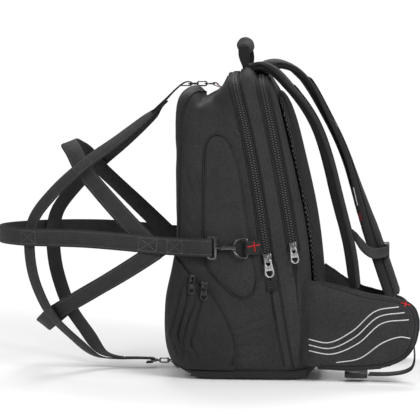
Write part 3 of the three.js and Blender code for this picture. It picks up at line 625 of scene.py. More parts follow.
def soft_copy(node, levels, cuts=0, rim_angle=55):
    """Mesh of a frame node, merged, turned to quads and rounded; its rims keep their edges."""
    bm = merged(node)
    limit = math.radians(60)
    bmesh.ops.join_triangles(bm, faces=bm.faces, angle_face_threshold=limit, angle_shape_threshold=limit)
    if cuts:
        longest = [e for e in bm.edges if abs(e.verts[0].co.x - e.verts[1].co.x) > 0.6 * e.calc_length()]
        bmesh.ops.subdivide_edges(bm, edges=longest, cuts=cuts, use_grid_fill=True)
    crease = bm.edges.layers.float.get("crease_edge") or bm.edges.layers.float.new("crease_edge")
    for e in bent_edges(bm, rim_angle):
        e[crease] = 1.0
    mesh = bpy.data.meshes.new(node + "_round")
    bm.to_mesh(mesh)
    bm.free()
    return modified(mesh, "SUBSURF", levels=levels, render_levels=levels)


def modified(mesh, kind, **settings):
    """The mesh after one modifier."""
    holder = bpy.data.objects.new("modified", mesh)
    bpy.context.scene.collection.objects.link(holder)
    modifier = holder.modifiers.new(kind.lower(), kind)
    for key, value in settings.items():
        setattr(modifier, key, value)
    graph = bpy.context.evaluated_depsgraph_get()
    made = bpy.data.meshes.new_from_object(holder.evaluated_get(graph))
    bpy.data.objects.remove(holder)
    return made


def round_edges(bm, angle, offset, segments=2):
    """Rounds the edges that bend by more than an angle in degrees."""
    bmesh.ops.bevel(
        bm, geom=bent_edges(bm, angle), offset=offset, offset_type="OFFSET", segments=segments, profile=0.5,
        affect="EDGES", material=-1, clamp_overlap=True,
    )


def bevel_copy(node, offset, segments=2, angle=30):
    """Mesh of a hard frame node with its edges rounded."""
    bm = merged(node)
    bmesh.ops.dissolve_limit(bm, angle_limit=math.radians(3), verts=bm.verts, edges=bm.edges)
    round_edges(bm, angle, offset, segments)
    return bm


def arc(centre, half, start, end, steps):
    """Points on an upright ellipse, from one angle to another in degrees."""
    turns = [math.radians(mix(start, end, i / steps)) for i in range(steps + 1)]
    return [(half[0] * math.cos(a), centre + half[1] * math.sin(a)) for a in turns]


# Outlines of a zip pull's plate, oval eye and window, about its middle, and the plate's height.
PULL_HEIGHT = 26
PULL_LOOPS = (
    [*arc(8.1, (4.9, 4.9), 0, 180, 12), *arc(-6.5, (6.5, 6.5), 180, 360, 14)],
    arc(7.3, (3.2, 4.0), 0, 345, 23),
    [(-4.2, -3.4), (4.2, -3.4), *reversed(arc(-5, (4.6, 6.2), 180, 360, 12))],
)


def pull_plate(node, lean):
    """Zip pull in a frame pull's place: a plate with an oval eye and a wide window at its rounded end."""
    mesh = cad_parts[node].data
    normal = max(mesh.polygons, key=lambda p: p.area).normal.copy()
    up = Vector((-math.sin(math.radians(lean)), 0, math.cos(math.radians(lean))))
    across = up.cross(normal).normalized()
    middle, spans = Vector(), []
    for way in (across, up, normal):
        places = [v.co.dot(way) for v in mesh.vertices]
        middle += way * (min(places) + max(places)) / 2
        spans.append(max(places) - min(places))
    scale = spans[1] / PULL_HEIGHT
    deep = spans[2]
    bm = bmesh.new()
    edges = []
    for loop in PULL_LOOPS:
        verts = [bm.verts.new(middle + (across * u + up * v) * scale - normal * deep / 2) for u, v in loop]
        edges += [bm.edges.new((a, b)) for a, b in zip(verts, [*verts[1:], verts[0]])]
    bmesh.ops.triangle_fill(bm, use_beauty=True, use_dissolve=False, edges=edges)
    raised = bmesh.ops.extrude_face_region(bm, geom=list(bm.faces))["geom"]
    top = [g for g in raised if isinstance(g, bmesh.types.BMVert)]
    bmesh.ops.translate(bm, verts=top, vec=normal * deep)
    bmesh.ops.recalc_face_normals(bm, faces=bm.faces)
    round_edges(bm, 50, 0.45 * MM)
    return bm


def shaped(mesh, move):
    """Moves each point along its normal by what move says for the point and normal."""
    normals = [v.normal.copy() for v in mesh.vertices]
    for v, n in zip(mesh.vertices, normals):
        v.co += n * move(v.co, n)
    mesh.update()
    return mesh


def fold_depth(co, folds):
    """How far the folds of a table, with a bank on both sides, pull the cloth in at a point, in metres."""
    x, z = co.x / MM, co.z / MM
    total = 0.0
    for row in folds:
        (x0, z0), (x1, z1) = row["from"], row["to"]
        dx, dz = x1 - x0, z1 - z0
        t = clamp(((x - x0) * dx + (z - z0) * dz) / (dx * dx + dz * dz))
        away = math.hypot(x - x0 - t * dx, z - z0 - t * dz) / row["width"]
        taper = (4 * t * (1 - t)) ** 0.5
        bank = 0.45 * math.exp(-((away - 1.7) ** 2) * 1.6)
        total += taper * row["depth"] * (math.exp(-away * away) - bank)
    return total * MM


def ripple(co, size, depth):
    """Slight rise and fall of cloth at a point."""
    return noise.noise(co / size) * depth


def mound(x, row):
    """Share of a soft form at a depth of the bag: 1 at its middle, falling away on both sides."""
    return math.exp(-(((x - row["x"]) / row["spread"]) ** 2))


def piece(source, name, look, stands_for=(), body=ROOT, sharp=40):
    """Makes one finished piece that rides on a body."""
    if isinstance(source, bmesh.types.BMesh):
        mesh = bpy.data.meshes.new(name)
        source.to_mesh(mesh)
        source.free()
    else:
        mesh = source
        mesh.name = name
    mesh.materials.clear()
    mesh.materials.append(look)
    mesh.polygons.foreach_set("use_smooth", [True] * len(mesh.polygons))
    mesh.set_sharp_from_angle(angle=math.radians(sharp))
    made = bpy.data.objects.new(name, mesh)
    bpy.context.scene.collection.objects.link(made)
    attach(made, body)
    if stands_for:
        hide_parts(*stands_for)
    return made


def plump(meshes, caps, voxel, pressure, steps=20):
    """Swells padded meshes by a short cloth run; each point moves out by its pad's cap at most."""
    grown, drawn_in = 2.0 * MM, 2.6 * MM
    holders = []
    scene = bpy.context.scene
    for mesh in meshes:
        start = modified(shaped(mesh, lambda co, n: grown), "REMESH", mode="VOXEL", voxel_size=voxel)
        shaped(start, lambda co, n: -drawn_in)
        holder = bpy.data.objects.new("swelling", start)
        scene.collection.objects.link(holder)
        cloth = holder.modifiers.new("cloth", "CLOTH").settings
        cloth.quality = 4
        cloth.mass = 0.2
        cloth.tension_stiffness = 12
        cloth.compression_stiffness = 12
        cloth.bending_stiffness = 0.6
        cloth.use_pressure = True
        cloth.uniform_pressure_force = pressure
        cloth.effector_weights.gravity = 0
        holders.append(holder)
    for step in range(1, steps + 1):
        scene.frame_set(step)
    graph = bpy.context.evaluated_depsgraph_get()
    swollen = []
    for holder, cap in zip(holders, caps):
        end = bpy.data.meshes.new_from_object(holder.evaluated_get(graph))
        for v, was in zip(end.vertices, holder.data.vertices):
            v.co = was.co + was.normal * clamp((v.co - was.co).dot(was.normal), 0.0, cap)
        end.update()
        swollen.append(end)
    for holder in holders:
        bpy.data.objects.remove(holder)
    scene.frame_set(1)
    return [modified(m, "SUBSURF", levels=1, render_levels=1) for m in swollen]


class Finish:
    """Builds one material from nodes."""

    def __init__(self, name, roughness, metallic=0.0, specular=0.5, **sockets):
        self.material = bpy.data.materials.new(name)
        self.material.use_nodes = True
        self.tree = self.material.node_tree
        self.shader = self.tree.nodes["Principled BSDF"]
        self.shader.inputs["Roughness"].default_value = roughness
        self.shader.inputs["Metallic"].default_value = metallic
        self.shader.inputs["Specular IOR Level"].default_value = specular
        for key, value in sockets.items():
            self.shader.inputs[key].default_value = value
        self.spot = self.tree.nodes.new("ShaderNodeTexCoord").outputs["Object"]

    def add(self, kind, **settings):
        node = self.tree.nodes.new(kind)
        for key, value in settings.items():
            setattr(node, key, value)
        return node

    def link(self, a, b):
        self.tree.links.new(a, b)

    def woven(self):
        """Place in the weave, along and across the strap."""
        self.spot = self.add("ShaderNodeAttribute", attribute_name="weave").outputs["Vector"]
        return self

    def noise(self, size, detail=3.0):
        node = self.add("ShaderNodeTexNoise")
        node.inputs["Scale"].default_value = 1 / size
        node.inputs["Detail"].default_value = detail
        self.link(self.spot, node.inputs["Vector"])
        return node.outputs["Fac"]

    def bands(self, direction, period, distortion=0.0):
        node = self.add("ShaderNodeTexWave", bands_direction=direction)
        node.inputs["Scale"].default_value = math.pi / (10 * period)
        node.inputs["Distortion"].default_value = distortion
        self.link(self.spot, node.inputs["Vector"])
        return node.outputs["Fac"]

    def cells(self, size, randomness):
        node = self.add("ShaderNodeTexVoronoi", voronoi_dimensions="2D")
        node.inputs["Scale"].default_value = 1 / size
        node.inputs["Randomness"].default_value = randomness
        self.link(self.spot, node.inputs["Vector"])
        return node.outputs["Distance"]

    def maths(self, operation, a, b):
        node = self.add("ShaderNodeMath", operation=operation)
        for socket, value in zip(node.inputs, (a, b)):
            if isinstance(value, (int, float)):
                socket.default_value = value
            else:
                self.link(value, socket)
        return node.outputs[0]

    def between(self, fac, low, high, start=0.3, end=0.7):
        """Colour that runs from low to high as fac goes from start to end."""
        ramp = self.add("ShaderNodeValToRGB")
        ramp.color_ramp.elements[0].position = start
        ramp.color_ramp.elements[1].position = end
        ramp.color_ramp.elements[0].color = (*low, 1)
        ramp.color_ramp.elements[1].color = (*high, 1)
        self.link(fac, ramp.inputs["Fac"])
        return ramp.outputs["Color"]

    def multiply(self, a, b):
        node = self.add("ShaderNodeMix", data_type="RGBA", blend_type="MULTIPLY")
        node.inputs["Factor"].default_value = 1.0
        self.link(a, node.inputs["A"])
        self.link(b, node.inputs["B"])
        return node.outputs["Result"]

    def colour(self, socket):
        self.link(socket, self.shader.inputs["Base Color"])
        return self

    def rough(self, fac, low, high):
        node = self.add("ShaderNodeMapRange")
        node.inputs["To Min"].default_value = low
        node.inputs["To Max"].default_value = high
        self.link(fac, node.inputs["Value"])
        self.link(node.outputs["Result"], self.shader.inputs["Roughness"])
        return self

    def bump(self, height, distance, strength=1.0):
        node = self.add("ShaderNodeBump")
        node.inputs["Distance"].default_value = distance
        node.inputs["Strength"].default_value = strength
        self.link(height, node.inputs["Height"])
        previous = self.shader.inputs["Normal"].links
        if previous:
            self.link(previous[0].from_socket, node.inputs["Normal"])
        self.link(node.outputs["Normal"], self.shader.inputs["Normal"])
        return self


def tone(colour, scale):
    return tuple(clamp(c * scale) for c in colour)


def cloth_finish(name, colour):
    """Coated twill: fine crossed yarns, mottled colour and a little sheen."""
    made = Finish(name, 0.82, specular=0.22, **{"Sheen Weight": 0.04, "Sheen Roughness": 0.5})
    mottle = made.noise(48 * MM, detail=5)
    fleck = made.noise(2.6 * MM, detail=3)
    bands = made.bands("DIAGONAL", 1.5 * MM, distortion=1.2)
    yarn = made.maths("MULTIPLY", bands, made.noise(1.1 * MM, detail=2))
    base = made.between(mottle, tone(colour, 0.9), tone(colour, 1.25))
    speck = made.between(fleck, (0.52,) * 3, (1.1,) * 3)
    made.colour(made.multiply(base, speck))
    made.rough(fleck, 0.7, 0.86)
    made.bump(yarn, 0.2 * MM, strength=0.5)
    return made.bump(made.noise(34 * MM, detail=4), 2.4 * MM, strength=0.4).material


def webbing_finish(name, colour, along="Y"):
    """Flat woven strap: ribs across it and cords along its edges."""
    made = Finish(name, 0.8, specular=0.3, **{"Sheen Weight": 0.04})
    if along == "Y":
        made.woven()
    ribs = made.bands(along, 1.7 * MM)
    cords = made.bands("X", 2.9 * MM)
    weave = made.maths("MULTIPLY", ribs, cords)
    base = made.between(weave, tone(colour, 0.6), tone(colour, 1.35), start=0.05, end=0.8)
    wear = made.between(made.noise(14 * MM, detail=3), (0.85,) * 3, (1.2,) * 3)
    made.colour(made.multiply(base, wear))
    return made.bump(weave, 0.4 * MM, strength=0.8).material


def mesh_finish(name, colour):
    """Padded spacer mesh: rows of small open cells."""
    made = Finish(name, 0.95, specular=0.08)
    axes = made.add("ShaderNodeSeparateXYZ")
    made.link(made.spot, axes.inputs["Vector"])
    around = made.maths("ADD", axes.outputs["X"], axes.outputs["Y"])
    slanted = made.add("ShaderNodeCombineXYZ")
    made.link(made.maths("ADD", around, axes.outputs["Z"]), slanted.inputs["X"])
    made.link(made.maths("SUBTRACT", around, axes.outputs["Z"]), slanted.inputs["Y"])
    made.spot = slanted.outputs["Vector"]
    cells = made.cells(6.6 * MM, 0.0)
    base = made.between(cells, tone(colour, 5.4), tone(colour, 0.08), start=0.22, end=0.44)
    wear = made.between(made.noise(30 * MM, detail=3), (0.85,) * 3, (1.15,) * 3)
    made.colour(made.multiply(base, wear))
    return made.bump(cells, 1.2 * MM, strength=0.9).material


def thread_finish(name, colour, rough=0.7):
    """Twisted thread or piping cloth."""
    made = Finish(name, rough, specular=0.3)
    grain = made.noise(0.8 * MM, detail=2)
    made.colour(made.between(grain, tone(colour, 0.7), tone(colour, 1.3)))
    return made.bump(grain, 0.15 * MM, strength=0.6).material


def metal_finish(name, colour, rough):
    """Plated metal with fine handling marks."""
    made = Finish(name, rough, metallic=1.0)
    marks = made.noise(3 * MM, detail=5)
    made.colour(made.between(marks, tone(colour, 0.78), tone(colour, 1.12)))
    made.rough(marks, rough * 0.7, rough * 1.5)
    return made.bump(made.noise(0.9 * MM, detail=2), 0.06 * MM, strength=0.4).material


def plastic_finish(name, colour, rough):
    """Moulded plastic with a fine spark texture."""
    made = Finish(name, rough, specular=0.5)
    grain = made.noise(0.7 * MM, detail=2)
    made.colour(made.between(made.noise(12 * MM, detail=3), tone(colour, 0.85), tone(colour, 1.2)))
    made.rough(grain, rough * 0.8, rough * 1.3)
    return made.bump(grain, 0.08 * MM, strength=0.5).material


# Each finish: its maker, its colour, the colour's strength and the maker's other values.
FINISHES = {
    "shell_cloth": {"make": cloth_finish, "colour": "cloth"},
    # Gusset: the shell cloth made 1.26 times lighter, which is painted light on the gusset
    "gusset_cloth": {"make": cloth_finish, "colour": "cloth", "strength": 1.26},
    # Pocket: the shell cloth darkened, which is painted shade on the pocket
    "pocket_cloth": {"make": cloth_finish, "colour": "cloth", "strength": 0.76},
    # Base: the shell cloth darkened, which is painted shade under the bag
    "base_cloth": {"make": cloth_finish, "colour": "cloth", "strength": 0.8},
    "pad_cloth": {"make": cloth_finish, "colour": "cloth", "strength": 0.7},
    "panel_cloth": {"make": cloth_finish, "colour": "cloth", "strength": 1.02},
    "wing_cloth": {"make": cloth_finish, "colour": "cloth", "strength": 1.1},
    "webbing": {"make": webbing_finish, "colour": "webbing"},
    "tab_webbing": {"make": webbing_finish, "colour": "webbing", "values": {"along": "Z"}},
    "handle_webbing": {"make": webbing_finish, "colour": "webbing", "strength": 0.33},
    "net_webbing": {"make": webbing_finish, "colour": "webbing", "strength": 1.6},
    "chest_webbing": {"make": webbing_finish, "colour": "webbing", "strength": 0.6},
    "edge_binding": {"make": webbing_finish, "colour": "webbing", "strength": 0.9},
    "zip_tape": {"make": webbing_finish, "colour": "tape"},
    "back_mesh": {"make": mesh_finish, "colour": "mesh"},
    "piping": {"make": thread_finish, "colour": "dark"},
    # Cord round the raised side panel in darkened cloth: its colour is painted shade along the panel's edge
    "soft_piping": {"make": thread_finish, "colour": "cloth", "strength": 0.5},
    "seam_thread": {"make": thread_finish, "colour": "thread"},
    "net_thread": {"make": thread_finish, "colour": "thread", "strength": 2.0},
    "zip_stitch": {"make": thread_finish, "colour": "thread", "strength": 1.1},
    "tack_thread": {"make": thread_finish, "colour": "red", "values": {"rough": 0.6}},
    "dull_thread": {"make": thread_finish, "colour": "red", "strength": 0.2},
    "stripe": {"make": thread_finish, "colour": "stripe", "values": {"rough": 0.45}},
    # Zip teeth ten times lighter than the tape of the same black plastic: painted light that keeps them
    # bright in the groove's shade
    "zip_coil": {"make": plastic_finish, "colour": "tape", "strength": 10, "values": {"rough": 0.6}},
    "buckle_plastic": {
        "make": plastic_finish, "colour": "plastic", "strength": 0.5, "values": {"rough": 0.32},
    },
    "grip_rubber": {"make": plastic_finish, "colour": "grip", "values": {"rough": 0.6}},
    "pull_metal": {"make": metal_finish, "colour": "silver", "values": {"rough": 0.3}},
    # The pull silver at an eighth of its strength: painted shade that dims the pocket's sliders and pulls
    "dark_pull_metal": {"make": metal_finish, "colour": "silver", "strength": 0.12, "values": {"rough": 0.3}},
    "slider_metal": {"make": metal_finish, "colour": "silver", "strength": 0.4, "values": {"rough": 0.26}},
    "hook_metal": {"make": metal_finish, "colour": "gunmetal", "values": {"rough": 0.2}},
}


def finish(kind):
    """The finish of one kind, made once."""
    name = kind + "_look"
    found = bpy.data.materials.get(name)
    if found:
        return found
    row = FINISHES[kind]
    colour = tone(getattr(colours(), row["colour"]), row.get("strength", 1.0))
    return row["make"](name, colour, **row.get("values", {}))


def outline_points(z_from, high=CREST["top"]):
    """Across-depth outline of the bag's crest from one side over the top to the other, above a height."""
    radius, crown = CREST["radius"], CREST["crown"]
    low = CREST["low"] + CREST["base"]
    shoulder = high - crown - radius
    half = []
    for i in range(1, 7):
        z = mix(low, shoulder, i / 6)
        half.append((body_line(z, "half"), z))
    crest = body_line(shoulder, "half") - radius
    for i in range(1, 5):
        a = i / 4 * math.pi / 2
        half.append((crest + radius * math.cos(a), shoulder + radius * math.sin(a)))
    half += [(crest * 0.55, high - crown * 0.3), (0, high)]
    half = [(y, z) for y, z in half if z > z_from]
    half.insert(0, (body_line(z_from, "half"), z_from))
    return [(-y, z) for y, z in half] + [(y, z) for y, z in reversed(half[:-1])]


def front_seam(z):
    """Depth of the front panel's piped seam at a height, in millimetres."""
    return -72 + 3 * ease(z, 240, 370) + 19 * ease(z, 370, 411) ** 1.5


def zip_line(name, z_from, shift=None, lift=0.0):
    """Line of a zip, or of an edge beside it, over the bag's top."""
    knots = []
    for y, z in outline_points(z_from):
        x = body_line(z, name) + (shift(z) if shift else 0.0)
        knots.append(Vector((x, y, z)) * MM)
    line = even(bspline(knots), 3 * MM)
    outs = []
    for i in range(len(line)):
        run = run_at(line, i)
        outs.append(Vector((0, -run.z, run.y)).normalized())
    return [p + o * lift for p, o in zip(line, outs)], outs


def strap_turn(side, share):
    """Turn of a shoulder strap's section from the frame's own, which sets its upper part on edge."""
    if side == "right":
        return -0.1 * ease(share, 0.04, 0.16) * (1 - ease(share, 0.55, 0.85))
    return 0.34 * (ease(share, 0.5, 0.8) - ease(share, 0.1, 0.5))


def strap_ribbon(side, turned=True):
    """Line and section frames of a shoulder strap, which faces away from the bag's middle."""
    line = catmull(STRAP_LINES[side], 4 * MM)

    def facing(p):
        rise = (p.z / MM - STRAP_MIDDLE["z"]) * STRAP_MIDDLE["share"]
        return Vector((p.x / MM - STRAP_MIDDLE["x"], 0, rise))

    def twist(share):
        own = -0.12 * share if side == "right" else 0.34 * ease(share, 0.1, 0.5)
        return own + (strap_turn(side, share) if turned else 0.0)

    return Ribbon(line, facing=facing, twist=twist)


class PACK_OT_shells(bpy.types.Operator):
    """Cloth shells, base panel and front pocket"""

    bl_idname = "pack.shells"
    bl_label = "Shells"

    CREST_RISE = 12 * MM
    CREST_CUTS = 4

    def above_base(self, co):
        """Share of a form that is left near the base, where the cloth is drawn tight."""
        return ease(co.z / MM, 0, 30)

    def front(self, co, n):
        """Folds of the front panel and the lip, notch, hollow and collar of its top."""
        x, y, z = co / MM
        wide = abs(y)
        aside, above = (x - LIP["x"]) / LIP["spread"], (z - LIP["z"]) / LIP["tall"]
        lip = LIP["rise"] * math.exp(-(aside**4) - above**2)
        notch = NOTCH["depth"] * mound(x, NOTCH) * ease(z, 380, 400) * n.z
        hollow = HOLLOW["depth"] * mound(x, HOLLOW) * ease(wide, 14, 36) * (1 - ease(wide, 84, 116)) * n.z
        collar = COLLAR["rise"] * mound(x, COLLAR) * ease(z, 385, 405) * clamp(n.z)
        collar *= (1 - math.exp(-((y / 16) ** 2))) * (ease(wide, 70, 108) + 0.25)
        wave = ripple(co, 70 * MM, 1.6 * MM) + ripple(co, 26 * MM, 0.6 * MM)
        form = (lip - notch - hollow + collar) * MM
        return (wave + form - fold_depth(co, SIDE_FOLDS)) * self.above_base(co)

    def pocket(self, co, n):
        """Folds of the front pocket."""
        return (ripple(co, 45 * MM, 1.4 * MM) - fold_depth(co, POCKET_FOLDS)) * self.above_base(co)

    def calm(self, co, n):
        """Slight waves of cloth that is drawn tight."""
        return ripple(co, 60 * MM, 0.8 * MM) * self.above_base(co)

    def crest(self, co, n):
        """Slight waves, and the swell of the top between the two zips."""
        z = co.z / MM
        low, high = body_line(z, "front_zip") + ZIP_HALF, body_line(z, "main_zip") - ZIP_HALF
        share = clamp((co.x / MM - low) / (high - low))
        return self.calm(co, n) + self.CREST_RISE * math.sin(math.pi * share) ** 0.8 * ease(z, 405, 436) * n.z

    def execute(self, context):
        shells = (
            ("front_shell", "front_panel_cloth", "shell_cloth", self.front, 0),
            # The gusset's lighter cloth is painted light
            ("gusset_band", "gusset_cloth", "gusset_cloth", self.crest, self.CREST_CUTS),
            ("back_shell", "rear_panel_cloth", "shell_cloth", self.calm, 0),
            # The pocket's darker cloth is painted shade
            ("front_pocket", "front_pocket_cloth", "pocket_cloth", self.pocket, 0),
        )
        for node, name, look, form, cuts in shells:
            piece(shaped(soft_copy(node, 3, cuts), form), name, finish(look), [node])
        # The base's darker cloth is painted shade
        piece(soft_copy("base_panel", 2), "base_panel_cloth", finish("base_cloth"), ["base_panel"])
        return {"FINISHED"}


class PACK_OT_pads(bpy.types.Operator):
    """Padded pieces: side panels, back pad, shoulder straps and hip wings"""

    bl_idname = "pack.pads"
    bl_label = "Pads"

    PADS = (
        {
            "node": "side_pad_right", "name": "side_pad_right_cloth",
            "finish": "panel_cloth", "fill": 0.4, "swell": 0,
        },
        {
            "node": "side_pad_left", "name": "side_pad_left_cloth",
            "finish": "panel_cloth", "fill": 0.4, "swell": 0,
        },
        {
            "node": "back_pad", "name": "back_pad_mesh",
            "finish": "back_mesh", "fill": 0.6, "swell": 0.8,
        },
        {
            "node": "shoulder_strap_right", "name": "shoulder_pad_right",
            "finish": "pad_cloth", "fill": 0.6, "swell": 1.2,
        },
        {
            "node": "shoulder_strap_left", "name": "shoulder_pad_left",
            "finish": "pad_cloth", "fill": 0.6, "swell": 1.2,
        },
        {
            "node": "hip_wing_right", "name": "hip_pad_right",
            "finish": "wing_cloth", "fill": 0.6, "swell": 2.4,
        },
        {
            "node": "hip_wing_left", "name": "hip_pad_left",
            "finish": "wing_cloth", "fill": 0.6, "swell": 2.4,
        },
    )
    LONGER = 5 * MM
    TUCKED = 8 * MM
    WIDER = 5 * MM
    ROOT_SWELL = 4 * MM
    VOXEL = 4.5 * MM
    PRESSURE = 4.0

    def turn(self, mesh, side):
        """Turns a shoulder strap's padding to lie as its webbing does, and draws its lower end longer."""
        spots = strap_ribbon(side, turned=False).spots
        tree = KDTree(len(spots))
        for i, s in enumerate(spots):
            tree.insert(s["p"], i)
        tree.balance()
        for v in mesh.vertices:
            s = spots[tree.find(v.co)[1]]
            v.co = s["p"] + Quaternion(s["along"], strap_turn(side, s["share"])) @ (v.co - s["p"])
            v.co += s["along"] * self.LONGER * ease(s["share"], 0.85, 0.98)
        mesh.update()

    def tuck(self, mesh):
        """Tucks a hip wing's sewn end into the bag."""
        for v in mesh.vertices:
            v.co.y -= math.copysign(self.TUCKED * (1 - ease(v.co.x / MM, 98, 122)), v.co.y)
        mesh.update()

    def widen(self, mesh):
        """Draws the back pad's rim out to the seam beside it."""
        for v in mesh.vertices:
            v.co.y += math.copysign(self.WIDER * ease(abs(v.co.y) / MM, 80, 126), v.co.y)
        mesh.update()

    def root(self, co, n):
        """Thickens a shoulder strap where it is sewn to the bag."""
        return (1 - ease(co.x / MM, 36, 84)) * abs(n.z) * self.ROOT_SWELL

    def execute(self, context):
        rounded = [soft_copy(row["node"], 2) for row in self.PADS]
        thick = [i for i, row in enumerate(self.PADS) if row["swell"]]
        caps = [self.PADS[i]["swell"] * MM * sizes().swell for i in thick]
        swollen = plump([rounded[i] for i in thick], caps, self.VOXEL, self.PRESSURE)
        for i, mesh in zip(thick, swollen):
            rounded[i] = mesh
        for row, mesh in zip(self.PADS, rounded):
            if row["node"].startswith("shoulder"):
                self.turn(mesh, row["node"].removeprefix("shoulder_strap_"))
                shaped(mesh, self.root)
            if row["node"].startswith("hip"):
                self.tuck(mesh)
            if row["node"] == "back_pad":
                self.widen(mesh)
            made = piece(mesh, row["name"], finish(row["finish"]), [row["node"]], sharp=60)
        return {"FINISHED"}


class PACK_OT_handle(bpy.types.Operator):
    """Grab handle with its ribbed grip"""

    bl_idname = "pack.handle"
    bl_label = "Handle"

    LEG_DEPTH = 3 * MM
    GRIP_WIDTH = 19.6 * MM
    GRIP_DEPTH = 18 * MM
    GRIP_SPAN = (0.25, 0.75)
    RIB_PITCH = 5 * MM
    RIB_RISE = 0.13

    def leg_width(self, s):
        """Width of the webbing: narrow at its sewn ends, widest below the grip."""
        rise = min(s["share"], 1 - s["share"])
        return (mix(8, 16.5, ease(rise, 0.02, 0.17)) - 3 * ease(rise, 0.2, 0.29)) * MM

    def rib(self, s):
        """Thickness of the grip along it: drawn in at its ends and ribbed."""
        end = ease(s["share"], 0.25, 0.31) * (1 - ease(s["share"], 0.69, 0.75))
        wave = math.sin(s["dist"] * 2 * math.pi / self.RIB_PITCH)
        return (0.7 + 0.3 * end) * (1 + self.RIB_RISE * wave)

    def execute(self, context):
        points = mirrored(HANDLE_HALF)
        legs = bmesh.new()
        ribbon = Ribbon(catmull(points, 2 * MM), across=held(1, 0, 0))
        sweep(legs, ribbon.rows(self.leg_width, self.LEG_DEPTH))
        piece(legs, "handle_legs", finish("handle_webbing"), ["handle_loop"])
        grip = bmesh.new()
        fine = Ribbon(catmull(points, 0.8 * MM), across=held(1, 0, 0))
        rows = fine.rows(
            lambda s: self.GRIP_WIDTH * self.rib(s), lambda s: self.GRIP_DEPTH * self.rib(s), *self.GRIP_SPAN,
        )
        sweep(grip, rows, round_section(24))
        piece(grip, "handle_grip_rubber", finish("grip_rubber"), ["handle_grip"])
        return {"FINISHED"}


class PACK_OT_harness(bpy.types.Operator):
    """Webbing, binding and buckles of the shoulder straps"""

    bl_idname = "pack.harness"
    bl_label = "Harness"

    REACH = 30 * MM
    HALF_WIDTH = 29 * MM
    STITCH_INSET = 10 * MM
    FLAT_ENOUGH = 0.8
    STRIPE_SPAN = (234 * MM, 266 * MM)
    TACK_SPAN = (212 * MM, 228 * MM)
    WEBBING_START = 0.2

    def rim(self, tree, ribbon, edge):
        """Line of one edge of a strap, just inside its skin, with the outward directions."""
        line, outs = [], []
        for s in ribbon.spots:
            way = s["side"] * edge
            spot = tree.ray_cast(s["p"] + way * 2 * self.REACH, -way)[0]
            if spot is not None:
                line.append(spot - way * 0.6 * MM)
                outs.append(s["out"])
        return line, outs

    def face_spots(self, tree, ribbon, face, shift):
        """Section, place and skin direction at each point of a line on one face of a strap."""
        found = []
        for s in ribbon.spots:
            way = s["out"] * face
            start = s["p"] + s["side"] * shift(s["share"]) + way * self.REACH
            spot, normal, _, _ = tree.ray_cast(start, -way)
            if spot is not None:
                found.append((s, spot, normal))
        return found

    def edges(self, side, tree, ribbon):
        """Binding and stitching along both edges, with a stripe and a tack on the inner one."""
        bind, thread, bright, red = bmesh.new(), bmesh.new(), bmesh.new(), bmesh.new()
        inward = Vector((0, -SIDES[side], 0))
        inner_edge = 1 if ribbon.spots[-1]["side"].y * SIDES[side] < 0 else -1
        for edge in (-1, 1):
            rim, outs = self.rim(tree, ribbon, edge)
            tube(bind, rim, outs, sizes().binding)
            if edge == inner_edge:
                low, high = self.STRIPE_SPAN
                shown = [p + inward * 2.0 * MM for p in rim if low < p.z < high]
                tube(bright, shown, [inward] * len(shown), 0.7 * MM)
                low, high = self.TACK_SPAN
                sewn = [p + inward * 2.2 * MM for p in rim if low < p.z < high]
                bar_tack(red, sewn, [inward] * len(sewn), 3.4 * MM)

            def beside_edge(share):
                return edge * (self.HALF_WIDTH * mix(0.72, 1, ease(share, 0.02, 0.3)) - self.STITCH_INSET)

            for face in (-1, 1):
                found = self.face_spots(tree, ribbon, face, beside_edge)
                flat = [(spot, n) for s, spot, n in found if n.dot(s["out"] * face) > self.FLAT_ENOUGH]
                stitches(thread, [spot for spot, n in flat], [n for spot, n in flat])
        piece(bind, f"shoulder_binding_{side}", finish("piping"))
        piece(thread, f"shoulder_stitching_{side}", finish("seam_thread"))
        piece(bright, f"shoulder_stripe_{side}", finish("stripe"))
        piece(red, f"shoulder_tack_{side}", finish("dull_thread"))

    def webbing(self, side, tree, ribbon):
        """Webbing sewn along a strap's face, the run below it and the lock between them."""
        points, outs = [], []
        for s, spot, n in self.face_spots(tree, ribbon, 1, lambda share: 0.0):
            if s["share"] >= self.WEBBING_START:
                points.append(spot + s["out"] * 1.0 * MM)
                outs.append(s["out"])
        sewn = bmesh.new()
        strip(sewn, points, outs, 22 * MM, 1.8 * MM)
        piece(sewn, f"shoulder_webbing_{side}", finish("webbing"))
        low = bmesh.new()
        ribbon = Ribbon(catmull(LOW_LINES[side], 3 * MM), across=held(0, 1, 0))
        sweep(low, ribbon.rows(sizes().webbing_width, sizes().webbing_depth))
        piece(low, f"lower_webbing_{side}", finish("webbing"), [f"strap_webbing_{side}"])
        node = f"strap_buckle_{side}"
        lock = bevel_copy(node, 0.8 * MM)
        piece(lock, f"ladder_lock_{side}", finish("buckle_plastic"), [node])

    def chest(self):
        """Gathered chest strap and its buckle."""
        strap = bmesh.new()
        ribbon = Ribbon(catmull(STERNUM_LINE, 3 * MM), across=held(0, 0, 1))
        rows = ribbon.rows(lambda s: mix(9, 16, ease(s["share"], 0.0, 0.3)) * MM, 8 * MM)
        sweep(strap, rows, round_section(20, ridge=0.05))
        piece(strap, "chest_webbing", finish("chest_webbing"), ["sternum_strap"])
        buckle = bevel_copy("sternum_buckle", 1.6 * MM, 3)
        piece(buckle, "chest_buckle", finish("buckle_plastic"), ["sternum_buckle"])

    def execute(self, context):
        for side in SIDES:
            tree = surface_tree("shoulder_pad_" + side)
            ribbon = strap_ribbon(side)
            self.edges(side, tree, ribbon)
            self.webbing(side, tree, ribbon)
        self.chest()
        return {"FINISHED"}


